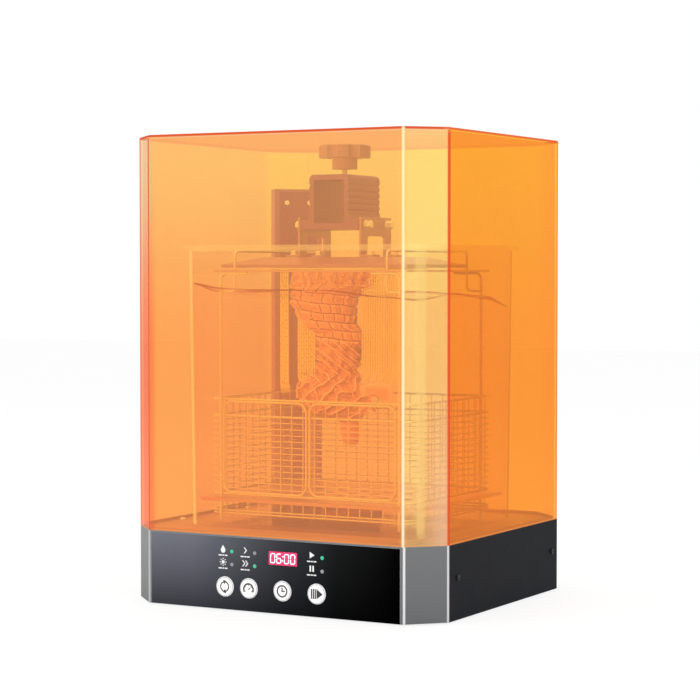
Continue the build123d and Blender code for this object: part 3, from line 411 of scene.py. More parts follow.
# ------------------------------------------------------------------ other clear materials
def clear_tank():
    """Clear moulding with painted highlights on its lip, rim, near corner and the left end of its
    outline along the diagonal, and a painted dark line at the outline's right end.
    """
    outline = [v.co.x * DIAG_X + v.co.y * DIAG_Y
               for v in nodes["wash_tank"].data.vertices if v.co.z < 0.322]
    left_end, right_end = min(outline), max(outline)

    mat = Material("clear_tank_moulding")
    x, y, z = mat.xyz()
    facing = mat.facing()
    waves = mat.noise(60.0, detail=3, rough=0.5)
    lip = mat.fade(z, 0.3285, 0.3300)
    rim = mat.fade(z, 0.3322, 0.3332)
    body = mat.fade_out(z, 0.3285, 0.3300)

    # the corner on the near side and the outline's two ends, which flare with height
    beside = mat.fade(mat.abs(x), 0.1165, 0.1200, smooth=True)
    behind = mat.fade(mat.abs(mat.sub(y, TANK_Y * MM)), 0.0925, 0.0960, smooth=True)
    corner = mat.mul(mat.mul(beside, behind), mat.fade(y, -0.05, 0.05, low=1.0, high=0.15))
    along = mat.add(mat.mul(x, DIAG_X), mat.mul(y, DIAG_Y))
    flare = mat.mul(mat.sub(z, 0.0735), 0.0131)
    from_left = mat.add(along, flare)
    from_right = mat.sub(along, flare)
    left_edge = mat.mul(mat.fade_out(from_left, left_end + 0.0022, left_end + 0.0036), body)
    left_dark = mat.mul(mat.fade_out(from_left, left_end + 0.0001, left_end + 0.0005), body)
    right_edge = mat.mul(mat.fade(from_right, right_end - 0.0016, right_end - 0.0008), body)
    near_corner = mat.mul(mat.near_line(x, y, (0.1215, -0.0900), full=0.0032, gone=0.0058), body)
    band = mat.mul(mat.fade(z, 0.3270, 0.3290), mat.fade(y, -0.06, -0.05, low=1.0, high=0.25))

    tint = mat.mix(mat.math("POWER", facing, 2.5), (1.0, 0.985, 0.985), (0.90, 0.80, 0.78))
    tint = mat.mix(mat.mul(lip, 0.12), tint, (0.93, 0.86, 0.84))
    tint = mat.mix(mat.fade(x, 0.1195, 0.1215), tint, (0.965, 0.915, 0.83))
    tint = mat.mix(mat.mul(right_edge, 0.5), tint, (0.62, 0.36, 0.22))

    glow = mat.mix(mat.fade(x, -0.02, 0.02), (1.0, 0.93, 0.55), (1.0, 0.84, 0.46))
    glow = mat.mix(mat.max(left_edge, band), glow, (1.25, 1.22, 0.78))
    glow = mat.mix(right_edge, glow, (0.50, 0.13, 0.02))
    glow = mat.mix(left_dark, glow, (0.62, 0.25, 0.06))
    rising = mat.fade(z, 0.10, 0.33, low=0.35, high=1.0)
    factor = mat.max(mat.mul(mat.mul(corner, rising), 0.30), mat.mul(rim, 0.20))
    factor = mat.max(
        mat.max(factor, mat.mul(left_edge, 0.58)),
        mat.max(mat.mul(right_edge, 0.50), mat.max(mat.mul(near_corner, 0.30), mat.mul(band, 0.20))))

    gloss = mat.fresnel(facing, power=4.0, scale=0.45, base=0.012)
    gloss = mat.math("MINIMUM", mat.add(gloss, mat.mul(lip, 0.05)), 0.95)
    return mat.clear(tint, gloss, gloss_color=(1, 0.93, 0.82),
                     roughness=mat.scaled(waves, scale=0.05, base=0.05),
                     normal=mat.bump(waves, strength=0.06, distance=0.0006),
                     layers=((glow, factor),))


def wash_liquid_material():
    mat = Material("wash_liquid")
    gloss = mat.fresnel(mat.facing(), power=4.5, scale=0.5, base=0.006)
    tint = mat.mix(mat.noise(14.0, detail=3, rough=0.5), (1.0, 0.95, 0.965), (1.0, 0.925, 0.94))
    ripple = mat.bump(mat.noise(45.0, detail=3, rough=0.5), strength=0.25, distance=0.0012)
    return mat.clear(tint, gloss, gloss_color=(1, 0.93, 0.85), roughness=0.03, normal=ripple)


def liquid_line_material():
    mat = Material("liquid_line")
    # the dark red-brown tint is a painted dark line where the surface curves up the wall
    tint = mat.mix(mat.noise(40.0, detail=3, rough=0.5), (0.62, 0.36, 0.27), (0.80, 0.52, 0.42))
    gloss = mat.fresnel(mat.facing(), power=4.0, scale=0.2, base=0.01)
    return mat.clear(tint, gloss, gloss_color=(1, 0.9, 0.8), roughness=0.08)


def smoked_window():
    """Dark window with a net of crossed slanting lines."""
    mat = Material("smoked_window")
    x, y, z = mat.xyz()
    across = mat.mul(mat.add(x, y), 0.7071)

    def lines(lean):
        slanted = mat.math(lean, z, mat.mul(across, 1.6))
        return mat.abs(mat.math("SINE", mat.mul(slanted, 420.0)))

    net = mat.fade_out(mat.math("MINIMUM", lines("ADD"), lines("SUBTRACT")), 0.10, 0.30)
    cloud = mat.noise(30.0, detail=3)
    tint = mat.mix(cloud, (0.50, 0.44, 0.46), (0.58, 0.51, 0.53))
    tint = mat.mix(mat.mul(net, 0.5), tint, (0.75, 0.70, 0.72))
    # painted glow on the window and its net, shown only when seen through the clear walls
    glow = mat.mix(net, (0.40, 0.16, 0.22), (0.62, 0.34, 0.38))
    depth = mat.node("LightPath").outputs["Transparent Depth"]
    factor = mat.mul(mat.math("GREATER_THAN", depth, 0.5), 0.42)
    return mat.clear(tint, mat.fresnel(mat.facing(), power=4.0, scale=0.97, base=0.03),
                     gloss_color=(1, 1, 1), roughness=mat.scaled(cloud, scale=0.06, base=0.04),
                     layers=((glow, factor),))


# ------------------------------------------------------------------ solid materials
def painted(name, color_a, color_b, rough, grain, depth, edge_color, edge_amount,
            metallic=0.0, specular=0.25, inner=None, shade=None):
    """Coated metal or moulded plastic: broad colour drift, fine grain, edges lightened by wear and
    by painted highlights.
    inner is painted light: the glow colour it shows through the clear walls; shade (start, end,
    amount) is painted shade that darkens it along X."""
    mat = Material(name)
    color = mat.mix(mat.noise(9.0, detail=3), color_a, color_b)
    fine = mat.noise(grain, detail=3, rough=0.6)
    blotch = mat.noise(70.0, detail=5, rough=0.6)
    normal = mat.rounded_normal(radius=0.0005)
    if edge_color is not None:
        edges = mat.edge_mask(normal)
        scuff_and_sheen = mat.fade(mat.noise(420.0, detail=4, rough=0.7), 0.35, 0.65)
        worn_and_lit_edges = mat.mul(mat.mul(edges, edge_amount), mat.add(0.55, mat.mul(scuff_and_sheen, 0.45)))
        color = mat.mix(worn_and_lit_edges, color, edge_color)
    amount = 1.0
    if shade is not None:
        start, end, darkness = shade
        shadow = mat.mul(mat.fade(mat.xyz()[0], start, end), darkness)
        color = mat.mix(shadow, color, tuple(0.35 * c for c in color_a))
        amount = mat.mul(amount, mat.invert(shadow))
    light = {}
    if inner is not None:
        lit_edge = tuple(min(1.0, 1.9 * c) for c in inner)
        light = mat.inside_light(mat.mix(mat.mul(edges, 0.6), inner, lit_edge), amount)
    return mat.finish(mat.bsdf(
        color, mat.add(rough - 0.06, mat.mul(blotch, 0.12)), metallic,
        mat.bump(fine, depth, distance=0.00012, normal=normal),
        Specular_IOR_Level=specular, **light))


def bare_metal(name, color_a, color_b, rough, axis=None, inner=None, front_only=False):
    """Metal brushed along an axis or polished, with smudges. front_only dims the inner
    light behind the front."""
    stretch = {"x": (30, 2600, 2600), "z": (2600, 2600, 30), None: (900, 900, 900)}[axis]
    mat = Material(name)
    mapping = mat.node("Mapping")
    mat.put(mapping.inputs[0], mat.position())
    mapping.inputs["Scale"].default_value = stretch
    brushed = mat.noise(1.0, detail=3, rough=0.6, vector=mapping.outputs[0])
    smudge = mat.noise(38.0, detail=5, rough=0.6)
    light = {}
    if inner is not None:
        amount = mat.mul(mat.scaled(brushed, scale=0.3, base=0.85), 1.0)
        if front_only:
            amount = mat.mul(amount, mat.fade(mat.xyz()[1], -0.070, -0.050, low=1.0, high=0.12))
        light = mat.inside_light(inner, amount)
    uneven = mat.add(mat.mul(smudge, 0.14), mat.mul(brushed, 0.06))
    normal = mat.bump(brushed, strength=0.08, distance=0.00006,
                      normal=mat.rounded_normal(radius=0.0004))
    return mat.finish(mat.bsdf(mat.mix(mat.mul(brushed, 0.8), color_a, color_b),
                               mat.add(rough - 0.08, uneven), 1.0, normal, **light))


def gloss_panel():
    """Black gloss with a broad soft painted reflection at the left, darker towards the bottom."""
    mat = Material("gloss_panel")
    x, _, z = mat.xyz()
    color = mat.ramp(mat.fade(x, -0.130, 0.130), (
        (0.0, (0.128, 0.136, 0.162)), (0.18, (0.115, 0.122, 0.148)),
        (0.36, (0.070, 0.076, 0.090)), (0.55, (0.030, 0.033, 0.038)),
        (0.75, (0.009, 0.0095, 0.010)), (1.0, (0.0008, 0.0008, 0.0008))))
    color = mat.brighten(color, mat.fade(z, 0.0, 0.066, low=0.30, high=1.15))
    color = mat.mix(mat.mul(mat.noise(6.0, detail=3), 0.06), color, (0.003, 0.003, 0.004))
    smudge = mat.noise(55.0, detail=5, rough=0.65)
    peel = mat.bump(mat.noise(260.0, detail=3, rough=0.5), strength=0.02, distance=0.0002,
                    normal=mat.rounded_normal(radius=0.0004))
    return mat.finish(mat.bsdf(color, mat.scaled(smudge, scale=0.05, base=0.05), normal=peel,
                               Specular_IOR_Level=0.0))


def frame_coat():
    """Grey coat, lighter towards the top, with painted highlights on its edges and painted highlight
    lines down its front corners.
    """
    mat = Material("grey_frame_coat")
    x, y, z = mat.xyz()
    color = mat.mix(mat.noise(8.0, detail=3), (0.133, 0.138, 0.142), (0.146, 0.151, 0.156))
    color = mat.brighten(color, mat.fade(z, 0.0, 0.07, low=0.92, high=1.10))
    normal = mat.rounded_normal(radius=0.0008)
    edges = mat.edge_mask(normal, low=0.01, high=0.12)
    right = mat.max(
        mat.near_line(x, y, (0.1338, -0.1472), full=0.0008, gone=0.0014),
        mat.mul(mat.near_line(x, y, (0.1627, -0.1185), full=0.0010, gone=0.0016), 0.8))
    left = mat.max(
        mat.near_line(x, y, (-0.1335, -0.1475), full=0.0016, gone=0.0024),
        mat.near_line(x, y, (-0.1627, -0.1185), full=0.0010, gone=0.0016))
    corners = mat.max(right, mat.mul(left, 0.50))
    lit = mat.max(mat.mul(edges, 0.5), mat.mul(corners, 0.9))
    color = mat.mix(lit, color, (0.72, 0.72, 0.73))
    fine = mat.noise(2400.0, detail=3, rough=0.6)
    return mat.finish(mat.bsdf(
        color, mat.scaled(mat.noise(80.0, detail=4), scale=0.12, base=0.34),
        normal=mat.bump(fine, strength=0.10, distance=0.0001, normal=normal),
        Specular_IOR_Level=0.08))


def button_cap(center_x, center_z):
    """White cap with a grey ring about its centre."""
    mat = Material("button_cap")
    x, _, z = mat.xyz()
    radius = mat.distance(x, z, center_x * MM, center_z * MM)
    ring = mat.mul(mat.fade(radius, 0.00795, 0.0081), mat.fade_out(radius, 0.0087, 0.0089))
    cloud = mat.noise(160.0, detail=3)
    color = mat.mix(cloud, (0.88, 0.88, 0.885), (0.93, 0.93, 0.935))
    color = mat.mix(ring, color, (0.36, 0.36, 0.38))
    normal = mat.bump(mat.noise(1500.0, detail=2), strength=0.05, distance=0.0001,
                      normal=mat.rounded_normal(radius=0.0004))
    # the faint white emission is painted light that brightens the caps
    return mat.finish(mat.bsdf(color, mat.scaled(cloud, scale=0.08, base=0.30), normal=normal,
                               Emission_Color=(1, 1, 1), Emission_Strength=0.10))


def glowing(name, color_a, color_b, strength, scale):
    mat = Material(name)
    color = mat.mix(mat.noise(scale, detail=3), color_a, color_b)
    return mat.finish(mat.bsdf(color, roughness=0.35, Emission_Color=color,
                               Emission_Strength=strength))


def printed_ink(name, color_a, color_b, roughness, **light):
    mat = Material(name)
    grain = mat.noise(900.0, detail=3)
    normal = mat.bump(grain, strength=0.1, distance=0.00005)
    return mat.finish(mat.bsdf(mat.mix(grain, color_a, color_b), roughness, normal=normal,
                               **light))


def resin(name, hollow_shade, body, raised_highlight, grain, grain_scale, grain_detail, grain_rough):
    """Cured resin: painted shade in the hollows, painted highlights on raised edges, faint build
    layers, and a painted glow seen through the clear walls.
    """
    mat = Material(name)
    fine = mat.noise(260.0, detail=4, rough=0.6)
    speckle = mat.noise(grain_scale, grain_detail, grain_rough) if grain_scale else fine
    layers = mat.node("TexWave", wave_type="BANDS", bands_direction="Z")
    mat.put(layers.inputs["Vector"], mat.position())
    layers.inputs["Scale"].default_value = 900.0
    layers.inputs["Distortion"].default_value = 1.5
    middle = tuple(0.5 * (p + q) for p, q in zip(hollow_shade, body))
    relief = mat.add(mat.node("NewGeometry").outputs["Pointiness"],
                     mat.scaled(speckle, scale=grain, base=-0.5 * grain))
    color = mat.ramp(mat.fade(relief, 0.43, 0.57),
                     ((0.0, hollow_shade), (0.30, middle), (0.52, body), (0.86, raised_highlight)))
    normal = mat.bump(fine, strength=0.35, distance=0.0005)
    normal = mat.bump(layers.outputs["Fac"], strength=0.10, distance=0.00008, normal=normal)
    return mat.finish(mat.bsdf(
        color, mat.scaled(fine, scale=0.22, base=0.22), normal=normal,
        Coat_Weight=0.35, Coat_Roughness=0.15,
        **mat.inside_light(color, amount=0.70, direct=0.92)))


# slot: name, colour a, colour b, roughness, grain scale, grain depth,
#       edge colour, edge amount, other settings
# inner colours are painted light, a glow shown only through the clear walls; the deck's shade is
# painted shade over its right part
PAINTED = {
    "sheet_dark": ("dark_powder_coat", (0.0085, 0.0098, 0.0125), (0.0115, 0.013, 0.016),
                   0.50, 2200, 0.22, (0.10, 0.10, 0.11), 0.5, {"specular": 0.03}),
    "deck_metal": ("deck_coat", (0.36, 0.35, 0.35), (0.42, 0.41, 0.41),
                   0.34, 1900, 0.12, (0.6, 0.6, 0.6), 0.5,
                   {"inner": (0.26, 0.07, 0.05), "shade": (0.085, 0.150, 0.75)}),
    "rubber_black": ("foot_rubber", (0.012, 0.012, 0.012), (0.025, 0.025, 0.026),
                     0.8, 1400, 0.4, (0.05, 0.05, 0.05), 0.4, {}),
    "screw_black": ("black_oxide", (0.010, 0.010, 0.011), (0.022, 0.022, 0.024),
                    0.38, 2500, 0.15, (0.12, 0.12, 0.13), 0.7, {"metallic": 0.6}),
    "board_green": ("solder_mask", (0.010, 0.070, 0.030), (0.014, 0.095, 0.040),
                    0.38, 900, 0.15, (0.25, 0.30, 0.20), 0.3, {"inner": (0.36, 0.16, 0.20)}),
    "display_body": ("display_block", (0.03, 0.03, 0.03), (0.05, 0.05, 0.05),
                     0.4, 1200, 0.1, (0.1, 0.1, 0.1), 0.4, {}),
    "switch_black": ("switch_moulding", (0.014, 0.014, 0.015), (0.026, 0.026, 0.028),
                     0.42, 1600, 0.15, (0.09, 0.09, 0.09), 0.5, {}),
    "rotor_nylon": ("rotor_nylon", (0.55, 0.55, 0.52), (0.66, 0.66, 0.63),
                    0.5, 1300, 0.15, (0.75, 0.75, 0.72), 0.4, {}),
    "cable_black": ("cable_jacket", (0.014, 0.014, 0.014), (0.028, 0.028, 0.028),
                    0.55, 800, 0.2, None, 0.0, {}),
    "tower_body": ("tower_moulding", (0.085, 0.080, 0.082), (0.115, 0.108, 0.110),
                   0.44, 1700, 0.20, (0.34, 0.32, 0.32), 0.6, {"inner": (0.48, 0.20, 0.27)}),
    "impeller_black": ("impeller_moulding", (0.020, 0.020, 0.021), (0.035, 0.035, 0.037),
                       0.45, 1500, 0.15, (0.1, 0.1, 0.1), 0.5, {"inner": (0.30, 0.06, 0.04)}),
    "anodised_plate": ("anodised_plate", (0.20, 0.19, 0.19), (0.26, 0.25, 0.25),
                       0.36, 2600, 0.25, (0.5, 0.5, 0.5), 0.6,
                       {"metallic": 0.75, "inner": (0.46, 0.20, 0.20)}),
    "anodised_arm": ("anodised_arm", (0.105, 0.095, 0.095), (0.140, 0.128, 0.126),
                     0.38, 2400, 0.20, (0.42, 0.40, 0.40), 0.7,
                     {"metallic": 0.5, "inner": (0.27, 0.085, 0.17)}),
    "knob_black": ("knob_moulding", (0.085, 0.078, 0.078), (0.115, 0.105, 0.104),
                   0.40, 1400, 0.22, (0.30, 0.28, 0.28), 0.6, {"inner": (0.56, 0.24, 0.17)}),
}

# slot: name, colour a, colour b, roughness, other settings
# inner colours here too are painted light, a glow shown only through the clear walls
METALS = {
    "screw_bright": ("bright_screw", (0.55, 0.55, 0.56), (0.78, 0.78, 0.79), 0.24,
                     {"inner": (1.0, 0.85, 0.60)}),
    "motor_steel": ("motor_can", (0.40, 0.40, 0.42), (0.62, 0.62, 0.64), 0.30, {"axis": "z"}),
    "magnet_nickel": ("nickel_plate", (0.60, 0.58, 0.54), (0.74, 0.72, 0.68), 0.16, {}),
    "stainless_wire": ("polished_wire", (0.52, 0.50, 0.47), (0.78, 0.76, 0.72), 0.24,
                       {"inner": (0.66, 0.62, 0.26), "front_only": True}),
    "stainless_sheet": ("brushed_sheet", (0.42, 0.41, 0.40), (0.62, 0.61, 0.60), 0.34,
                        {"axis": "x", "inner": (0.40, 0.20, 0.15)}),
    "bolt_steel": ("bolt_steel", (0.58, 0.57, 0.55), (0.80, 0.79, 0.77), 0.22,
                   {"inner": (0.62, 0.52, 0.30)}),
    "knob_stud": ("knob_stud", (0.30, 0.29, 0.28), (0.46, 0.45, 0.44), 0.30,
                  {"axis": "z", "inner": (0.42, 0.17, 0.12)}),
}

# slot: name, colour a, colour b, light strength, noise scale
GLOWING = {
    "uv_led": ("uv_diode", (0.70, 0.66, 0.42), (0.85, 0.82, 0.60), 0.05, 400.0),
    "led_lens": ("indicator_off", (0.20, 0.21, 0.22), (0.30, 0.31, 0.32), 0.05, 400.0),
    "led_on": ("indicator_on", (0.010, 0.33, 0.17), (0.03, 0.46, 0.26), 0.42, 400.0),
    "display_glow": ("display_glow", (0.52, 0.012, 0.085), (0.62, 0.025, 0.13), 0.42, 120.0),
    "digit_glow": ("digit_glow", (0.95, 0.72, 0.80), (1.0, 0.85, 0.90), 0.9, 300.0),
}

materials = {
    "hood_amber": amber_hood(),
    "tank_clear": clear_tank(),
    "liquid": wash_liquid_material(),
    "meniscus": liquid_line_material(),
    "tower_window": smoked_window(),
    "panel_black": gloss_panel(),
    "frame_grey": frame_coat(),
    "cured_resin": resin(
        "cured_resin", hollow_shade=(0.30, 0.07, 0.03), body=(0.78, 0.44, 0.26),
        raised_highlight=(1.0, 0.90, 0.66), grain=0.05, grain_scale=28.0, grain_detail=6,
        grain_rough=0.62),
    "support_resin": resin(
        "support_resin", hollow_shade=(0.20, 0.12, 0.01), body=(0.80, 0.72, 0.12),
        raised_highlight=(1.0, 1.0, 0.34), grain=0.34, grain_scale=None, grain_detail=None,
        grain_rough=None),
    # the white ink's faint emission is painted light
    "ink": printed_ink("printed_ink", (0.62, 0.63, 0.65), (0.80, 0.81, 0.83), roughness=0.5,
                       Emission_Color=(0.8, 0.8, 0.82), Emission_Strength=0.12),
    "black_ink": printed_ink("black_ink", (0.012, 0.012, 0.014), (0.03, 0.03, 0.034),
                             roughness=0.45),
}
for build, table in ((painted, PAINTED), (bare_metal, METALS)):
    for slot, (*values, settings) in table.items():
        materials[slot] = build(*values, **settings)
for slot, values in GLOWING.items():
    materials[slot] = glowing(*values)


def set_material(node_name, material):
    part = nodes[node_name]
    if not part.material_slots:
        part.data.materials.append(material)
    for slot in part.material_slots:
        slot.material = material


for subpart in frame["record"]["subparts"]:
    if subpart["material_slot"] in materials:
        set_material(subpart["node"], materials[subpart["material_slot"]])
set_material("knob_screw", materials["knob_stud"])
for button, button_x, _, _ in BUTTONS:
    set_material(button, button_cap(button_x, BUTTON_Z))


# ------------------------------------------------------------------ geometry helpers
def add_mesh(name, shape, material, body, sharp):
    """Object from (verts, faces), smooth but for edges over sharp degrees, riding on body."""
    mesh = bpy.data.meshes.new(name)
    mesh.from_pydata(shape[0], [], shape[1])
    mesh.validate()
    mesh.update()
    part = bpy.data.objects.new(name, mesh)
    scene.collection.objects.link(part)
    mesh.materials.append(materials[material])
    bm = bmesh.new()
    bm.from_mesh(mesh)
    bmesh.ops.recalc_face_normals(bm, faces=bm.faces)
    bm.to_mesh(mesh)
    bm.free()
    for polygon in mesh.polygons:
        polygon.use_smooth = True
    bm = bmesh.new()
    bm.from_mesh(mesh)
    for edge in bm.edges:
        if len(edge.link_faces) == 2:
            edge.smooth = edge.calc_face_angle(0) < math.radians(sharp)
    bm.to_mesh(mesh)
    bm.free()
    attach(part, body)
    return part


def clamp(value):
    return max(0.0, min(1.0, value))


def ease(value):
    return value * value * (3 - 2 * value)


def quads(rows, count, looped=False):
    """Faces joining each closed row of count points to the next row."""
    faces = []
    for row in range(rows if looped else rows - 1):
        a, b = row * count, (row + 1) % rows * count
        faces += [(a + i, a + (i + 1) % count, b + (i + 1) % count, b + i) for i in range(count)]
    return faces


def first_cap(count):
    return tuple(range(count))


def last_cap(rows, count):
    return tuple(range((rows - 1) * count, rows * count))


def join(shapes):
    verts, faces = [], []
    for shape_verts, shape_faces in shapes:
        start = len(verts)
        verts += shape_verts
        faces += [tuple(i + start for i in face) for face in shape_faces]
    return verts, faces


def prism(points, y0, y1):
    """Flat outline in X, Z (mm) drawn between two Y planes (mm)."""
    count = len(points)
    verts = [(x * MM, y * MM, z * MM) for y in (y0, y1) for x, z in points]
    return verts, [first_cap(count), last_cap(2, count)[::-1]] + quads(2, count)


def arc_band(center_x, center_z, inner, outer, y0, y1, start, end, steps=40):
    """Band between two radii, angles in degrees clockwise from the top."""
    full = abs(end - start) >= 359.9
    count = steps if full else steps + 1
    verts, faces = [], []
    for i in range(count):
        angle = math.radians(start + (end - start) * i / steps)
        verts += [((center_x + radius * math.sin(angle)) * MM, y * MM,
                   (center_z + radius * math.cos(angle)) * MM)
                  for radius in (inner, outer) for y in (y0, y1)]
    for i in range(steps):
        a, b = 4 * i, 4 * ((i + 1) % count)
        faces += [(a + p, a + q, b + q, b + p) for p, q in ((0, 1), (1, 3), (3, 2), (2, 0))]
    if not full:
        last = 4 * (count - 1)
        faces += [(0, 1, 3, 2), (last, last + 2, last + 3, last + 1)]
    return verts, faces


def circle(center_x, center_z, radius, count):
    return [(center_x + radius * math.cos(2 * math.pi * i / count),
             center_z + radius * math.sin(2 * math.pi * i / count)) for i in range(count)]


def box(left, right, first_z, second_z):
    return [(left, first_z), (right, first_z), (right, second_z), (left, second_z)]


def rounded_rectangle(half_x, half_y, radius, steps):
    """Outline about the origin, anticlockwise."""
    points = []
    x, y = half_x - radius, half_y - radius
    for corner_x, corner_y, start in ((x, y, 0), (-x, y, 90), (-x, -y, 180), (x, -y, 270)):
        for i in range(steps + 1):
            angle = math.radians(start + 90 * i / steps)
            points.append((corner_x + radius * math.cos(angle),
                           corner_y + radius * math.sin(angle)))
    return points


def rod(start, end, radius, sides):
    """Closed thin rod between two points (mm)."""
    start, end = Vector(start), Vector(end)
    along = (end - start).normalized()
    across = along.orthogonal().normalized()
    other = along.cross(across)
    verts = []
    for center in (start, end):
        for i in range(sides):
            angle = 2 * math.pi * i / sides
            point = center + (across * math.cos(angle) + other * math.sin(angle)) * radius
            verts.append(tuple(point * MM))
    return verts, quads(2, sides) + [first_cap(sides)[::-1], last_cap(2, sides)]


# ------------------------------------------------------------------ wash liquid
# heights (mm) of the swash above the level, as (place from -1 to 1 along the wall, height)
SWASH_FRONT = ((-1, 11), (-0.75, 6), (0.18, 5.6), (0.77, 0), (1, -3))
SWASH_RIGHT = ((-1, -3), (-0.27, 2), (0.37, -3), (1, -12))
SWASH_REAR = ((-1, 1), (0, 2), (0.8, 0), (1, -12))
SWASH_LEFT = ((-1, 11), (-0.5, 4), (1, 1))


def along_wall(stations, place):
    place = max(stations[0][0], min(stations[-1][0], place))
    for (place0, height0), (place1, height1) in zip(stations, stations[1:]):
        if place <= place1:
            return height0 + (height1 - height0) * ease((place - place0) / (place1 - place0))


def surface_height(x, y):
    """Liquid surface in mm: a little swell, and swash that climbs and falls at the walls."""
    u = max(-1.0, min(1.0, x / 122.0))
    v = max(-1.0, min(1.0, (y - TANK_Y) / 98.0))
    at_wall = min(1.0, abs(u) ** 7 + abs(v) ** 7)
    swell = (1.3 * math.sin(x * 0.052 + 0.6) + 1.0 * math.sin(y * 0.045 + x * 0.021 + 1.9)
             + 0.8 * noise.noise(Vector((x * 0.03, y * 0.03, 2.0))))
    walls = ((-v, SWASH_FRONT, u), (u, SWASH_RIGHT, v), (v, SWASH_REAR, u), (-u, SWASH_LEFT, v))
    weights = [max(0.0, nearness) ** 6 for nearness, _, _ in walls]
    total = sum(w * along_wall(swash, place) for w, (_, swash, place) in zip(weights, walls))
    swash = total / (sum(weights) + 0.02)
    return LIQUID_Z + swell * 0.7 * (1.0 - 0.6 * at_wall) + at_wall * swash


def tank_section(z):
    """Half width, half depth and corner radius of the liquid at a height."""
    rise = (z - FLOOR) / (TANK_TOP - FLOOR)
    gap = 0.5
    return 121.0 + 2.5 * rise - gap, 97.0 + 2.5 * rise - gap, 11.5 + rise


def section_point(u, v, section):
    """Maps the square from -1 to 1 onto the rounded section, its edge exactly on the outline."""
    half_x, half_y, radius = section
    x, y = u * half_x, v * half_y
    center_x, center_y = half_x - radius, half_y - radius
    if abs(x) > center_x and abs(y) > center_y:
        dx, dy = abs(x) - center_x, abs(y) - center_y
        reach = math.hypot(dx, dy)
        if reach > 1e-6:
            scale = max(dx, dy) / reach
            x = math.copysign(center_x + dx * scale, x)
            y = math.copysign(center_y + dy * scale, y)
    return x, y + TANK_Y


def liquid():
    """The body of liquid; returns the points (m) where its surface meets the walls."""
    columns, rows = 96, 80
    section = tank_section(LIQUID_Z)
    verts, faces = [], []
    for j in range(rows + 1):
        for i in range(columns + 1):
            x, y = section_point(2 * i / columns - 1, 2 * j / rows - 1, section)
            verts.append((x * MM, y * MM, surface_height(x, y) * MM))

    def top(i, j):
        return j * (columns + 1) + i

    for j in range(rows):
        for i in range(columns):
            faces.append((top(i, j), top(i + 1, j), top(i + 1, j + 1), top(i, j + 1)))
    border = ([(i, 0) for i in range(columns)] + [(columns, j) for j in range(rows)]
              + [(i, rows) for i in range(columns, 0, -1)] + [(0, j) for j in range(rows, 0, -1)])
    upper = [top(i, j) for i, j in border]
    outline = [verts[i] for i in upper]
    count = len(border)
    for z in (240.0, 180.0, 120.0, FLOOR + 0.4):
        section = tank_section(z)
        lower = list(range(len(verts), len(verts) + count))
        for i, j in border:
            x, y = section_point(2 * i / columns - 1, 2 * j / rows - 1, section)
            verts.append((x * MM, y * MM, z * MM))
        for k in range(count):
            after = (k + 1) % count
            faces.append((upper[k], upper[after], lower[after], lower[k]))
        upper = lower
    faces.append(tuple(reversed(upper)))
    add_mesh("wash_liquid", (verts, faces), "liquid", "tank_body", sharp=60)
    return outline


def liquid_edge_line(outline):
    """Uneven bead where the surface climbs the wall."""
    half_x, half_y, _ = tank_section(LIQUID_Z)
    sides = 8
    verts = []
    for k, (x, y, z) in enumerate(outline):
        outward = Vector((x / (half_x * MM), (y - TANK_Y * MM) / (half_y * MM), 0))
        outward = Vector((outward.x ** 9, outward.y ** 9, 0)).normalized()
        wander = abs(noise.noise(Vector((k * 0.05, 1.0, 4.0))))
        width = 0.55 + 0.25 * math.sin(k * 0.21) + 0.35 * wander
        center = Vector((x, y, z + 0.0004)) - outward * 0.0006
        for side in range(sides):
            angle = 2 * math.pi * side / sides
            offset = outward * math.cos(angle) * 0.45 + Vector((0, 0, 1)) * math.sin(angle) * 1.0
            verts.append(tuple(center + offset * width * MM))
    faces = quads(len(outline), sides, looped=True)
    add_mesh("liquid_edge_line", (verts, faces), "meniscus", "tank_body", sharp=80)


liquid_edge_line(liquid())


# ------------------------------------------------------------------ printed piece
# A twisted, folded column. Its points are given by the distances along and across the layout
# diagonal (mm) from the platform's centre; along runs to the right, across to the front.
PLATE_X, PLATE_Y = -1.5, -10.0


def laid_out(along, across, z):
    return (PLATE_X + along * DIAG_X + across * DIAG_Y,
            PLATE_Y + along * DIAG_Y - across * DIAG_X, z)


def at(along, across, z):
    """The same place in metres."""
    return tuple(c * MM for c in laid_out(along, across, z))


# height, centre along the diagonal, half width, half depth
BODY = (
    (143.4, 6.6, 0.6, 0.6), (143.9, 6.2, 4.6, 4.4), (145.6, 5.6, 7.6, 7.0),
    (150.0, 5.4, 8.8, 8.0), (166.0, 4.4, 9.6, 8.6), (169.5, -2.5, 20.0, 15.0),
    (175.4, -8.9, 29.0, 21.0), (185.0, -9.9, 33.5, 24.0), (194.5, -12.2, 32.0, 24.0),
    (204.0, -15.0, 27.8, 22.5), (213.7, -9.9, 21.8, 20.5), (223.3, -6.5, 21.0, 20.0),
    (233.0, -6.0, 22.5, 20.0), (242.0, -4.6, 23.0, 20.5), (250.5, -5.5, 23.0, 21.5),
    (256.8, -15.2, 26.4, 23.0), (262.0, -17.0, 26.2, 23.0), (271.2, -18.3, 28.2, 24.0),
    (281.0, -20.5, 31.2, 25.5), (289.0, -17.5, 33.8, 27.0), (296.0, -11.5, 41.5, 29.0),
    (306.0, -9.5, 42.0, 30.0), (310.6, -9.5, 41.0, 29.5),
)
COLUMN_ROWS, COLUMN_SIDES = 420, 420


def body_at(z):
    for low, high in zip(BODY, BODY[1:]):
        if z <= high[0]:
            part = max(0.0, (z - low[0]) / (high[0] - low[0]))
            if z > 150:
                part = ease(part)
            return tuple(low[k] + (high[k] - low[k]) * part for k in (1, 2, 3))
    return BODY[-1][1:]


def scatter(i, j):
    """A repeatable number from 0 to 1 for a pair of whole numbers."""
    value = math.sin(i * 127.1 + j * 311.7) * 43758.5453
    return value - math.floor(value)


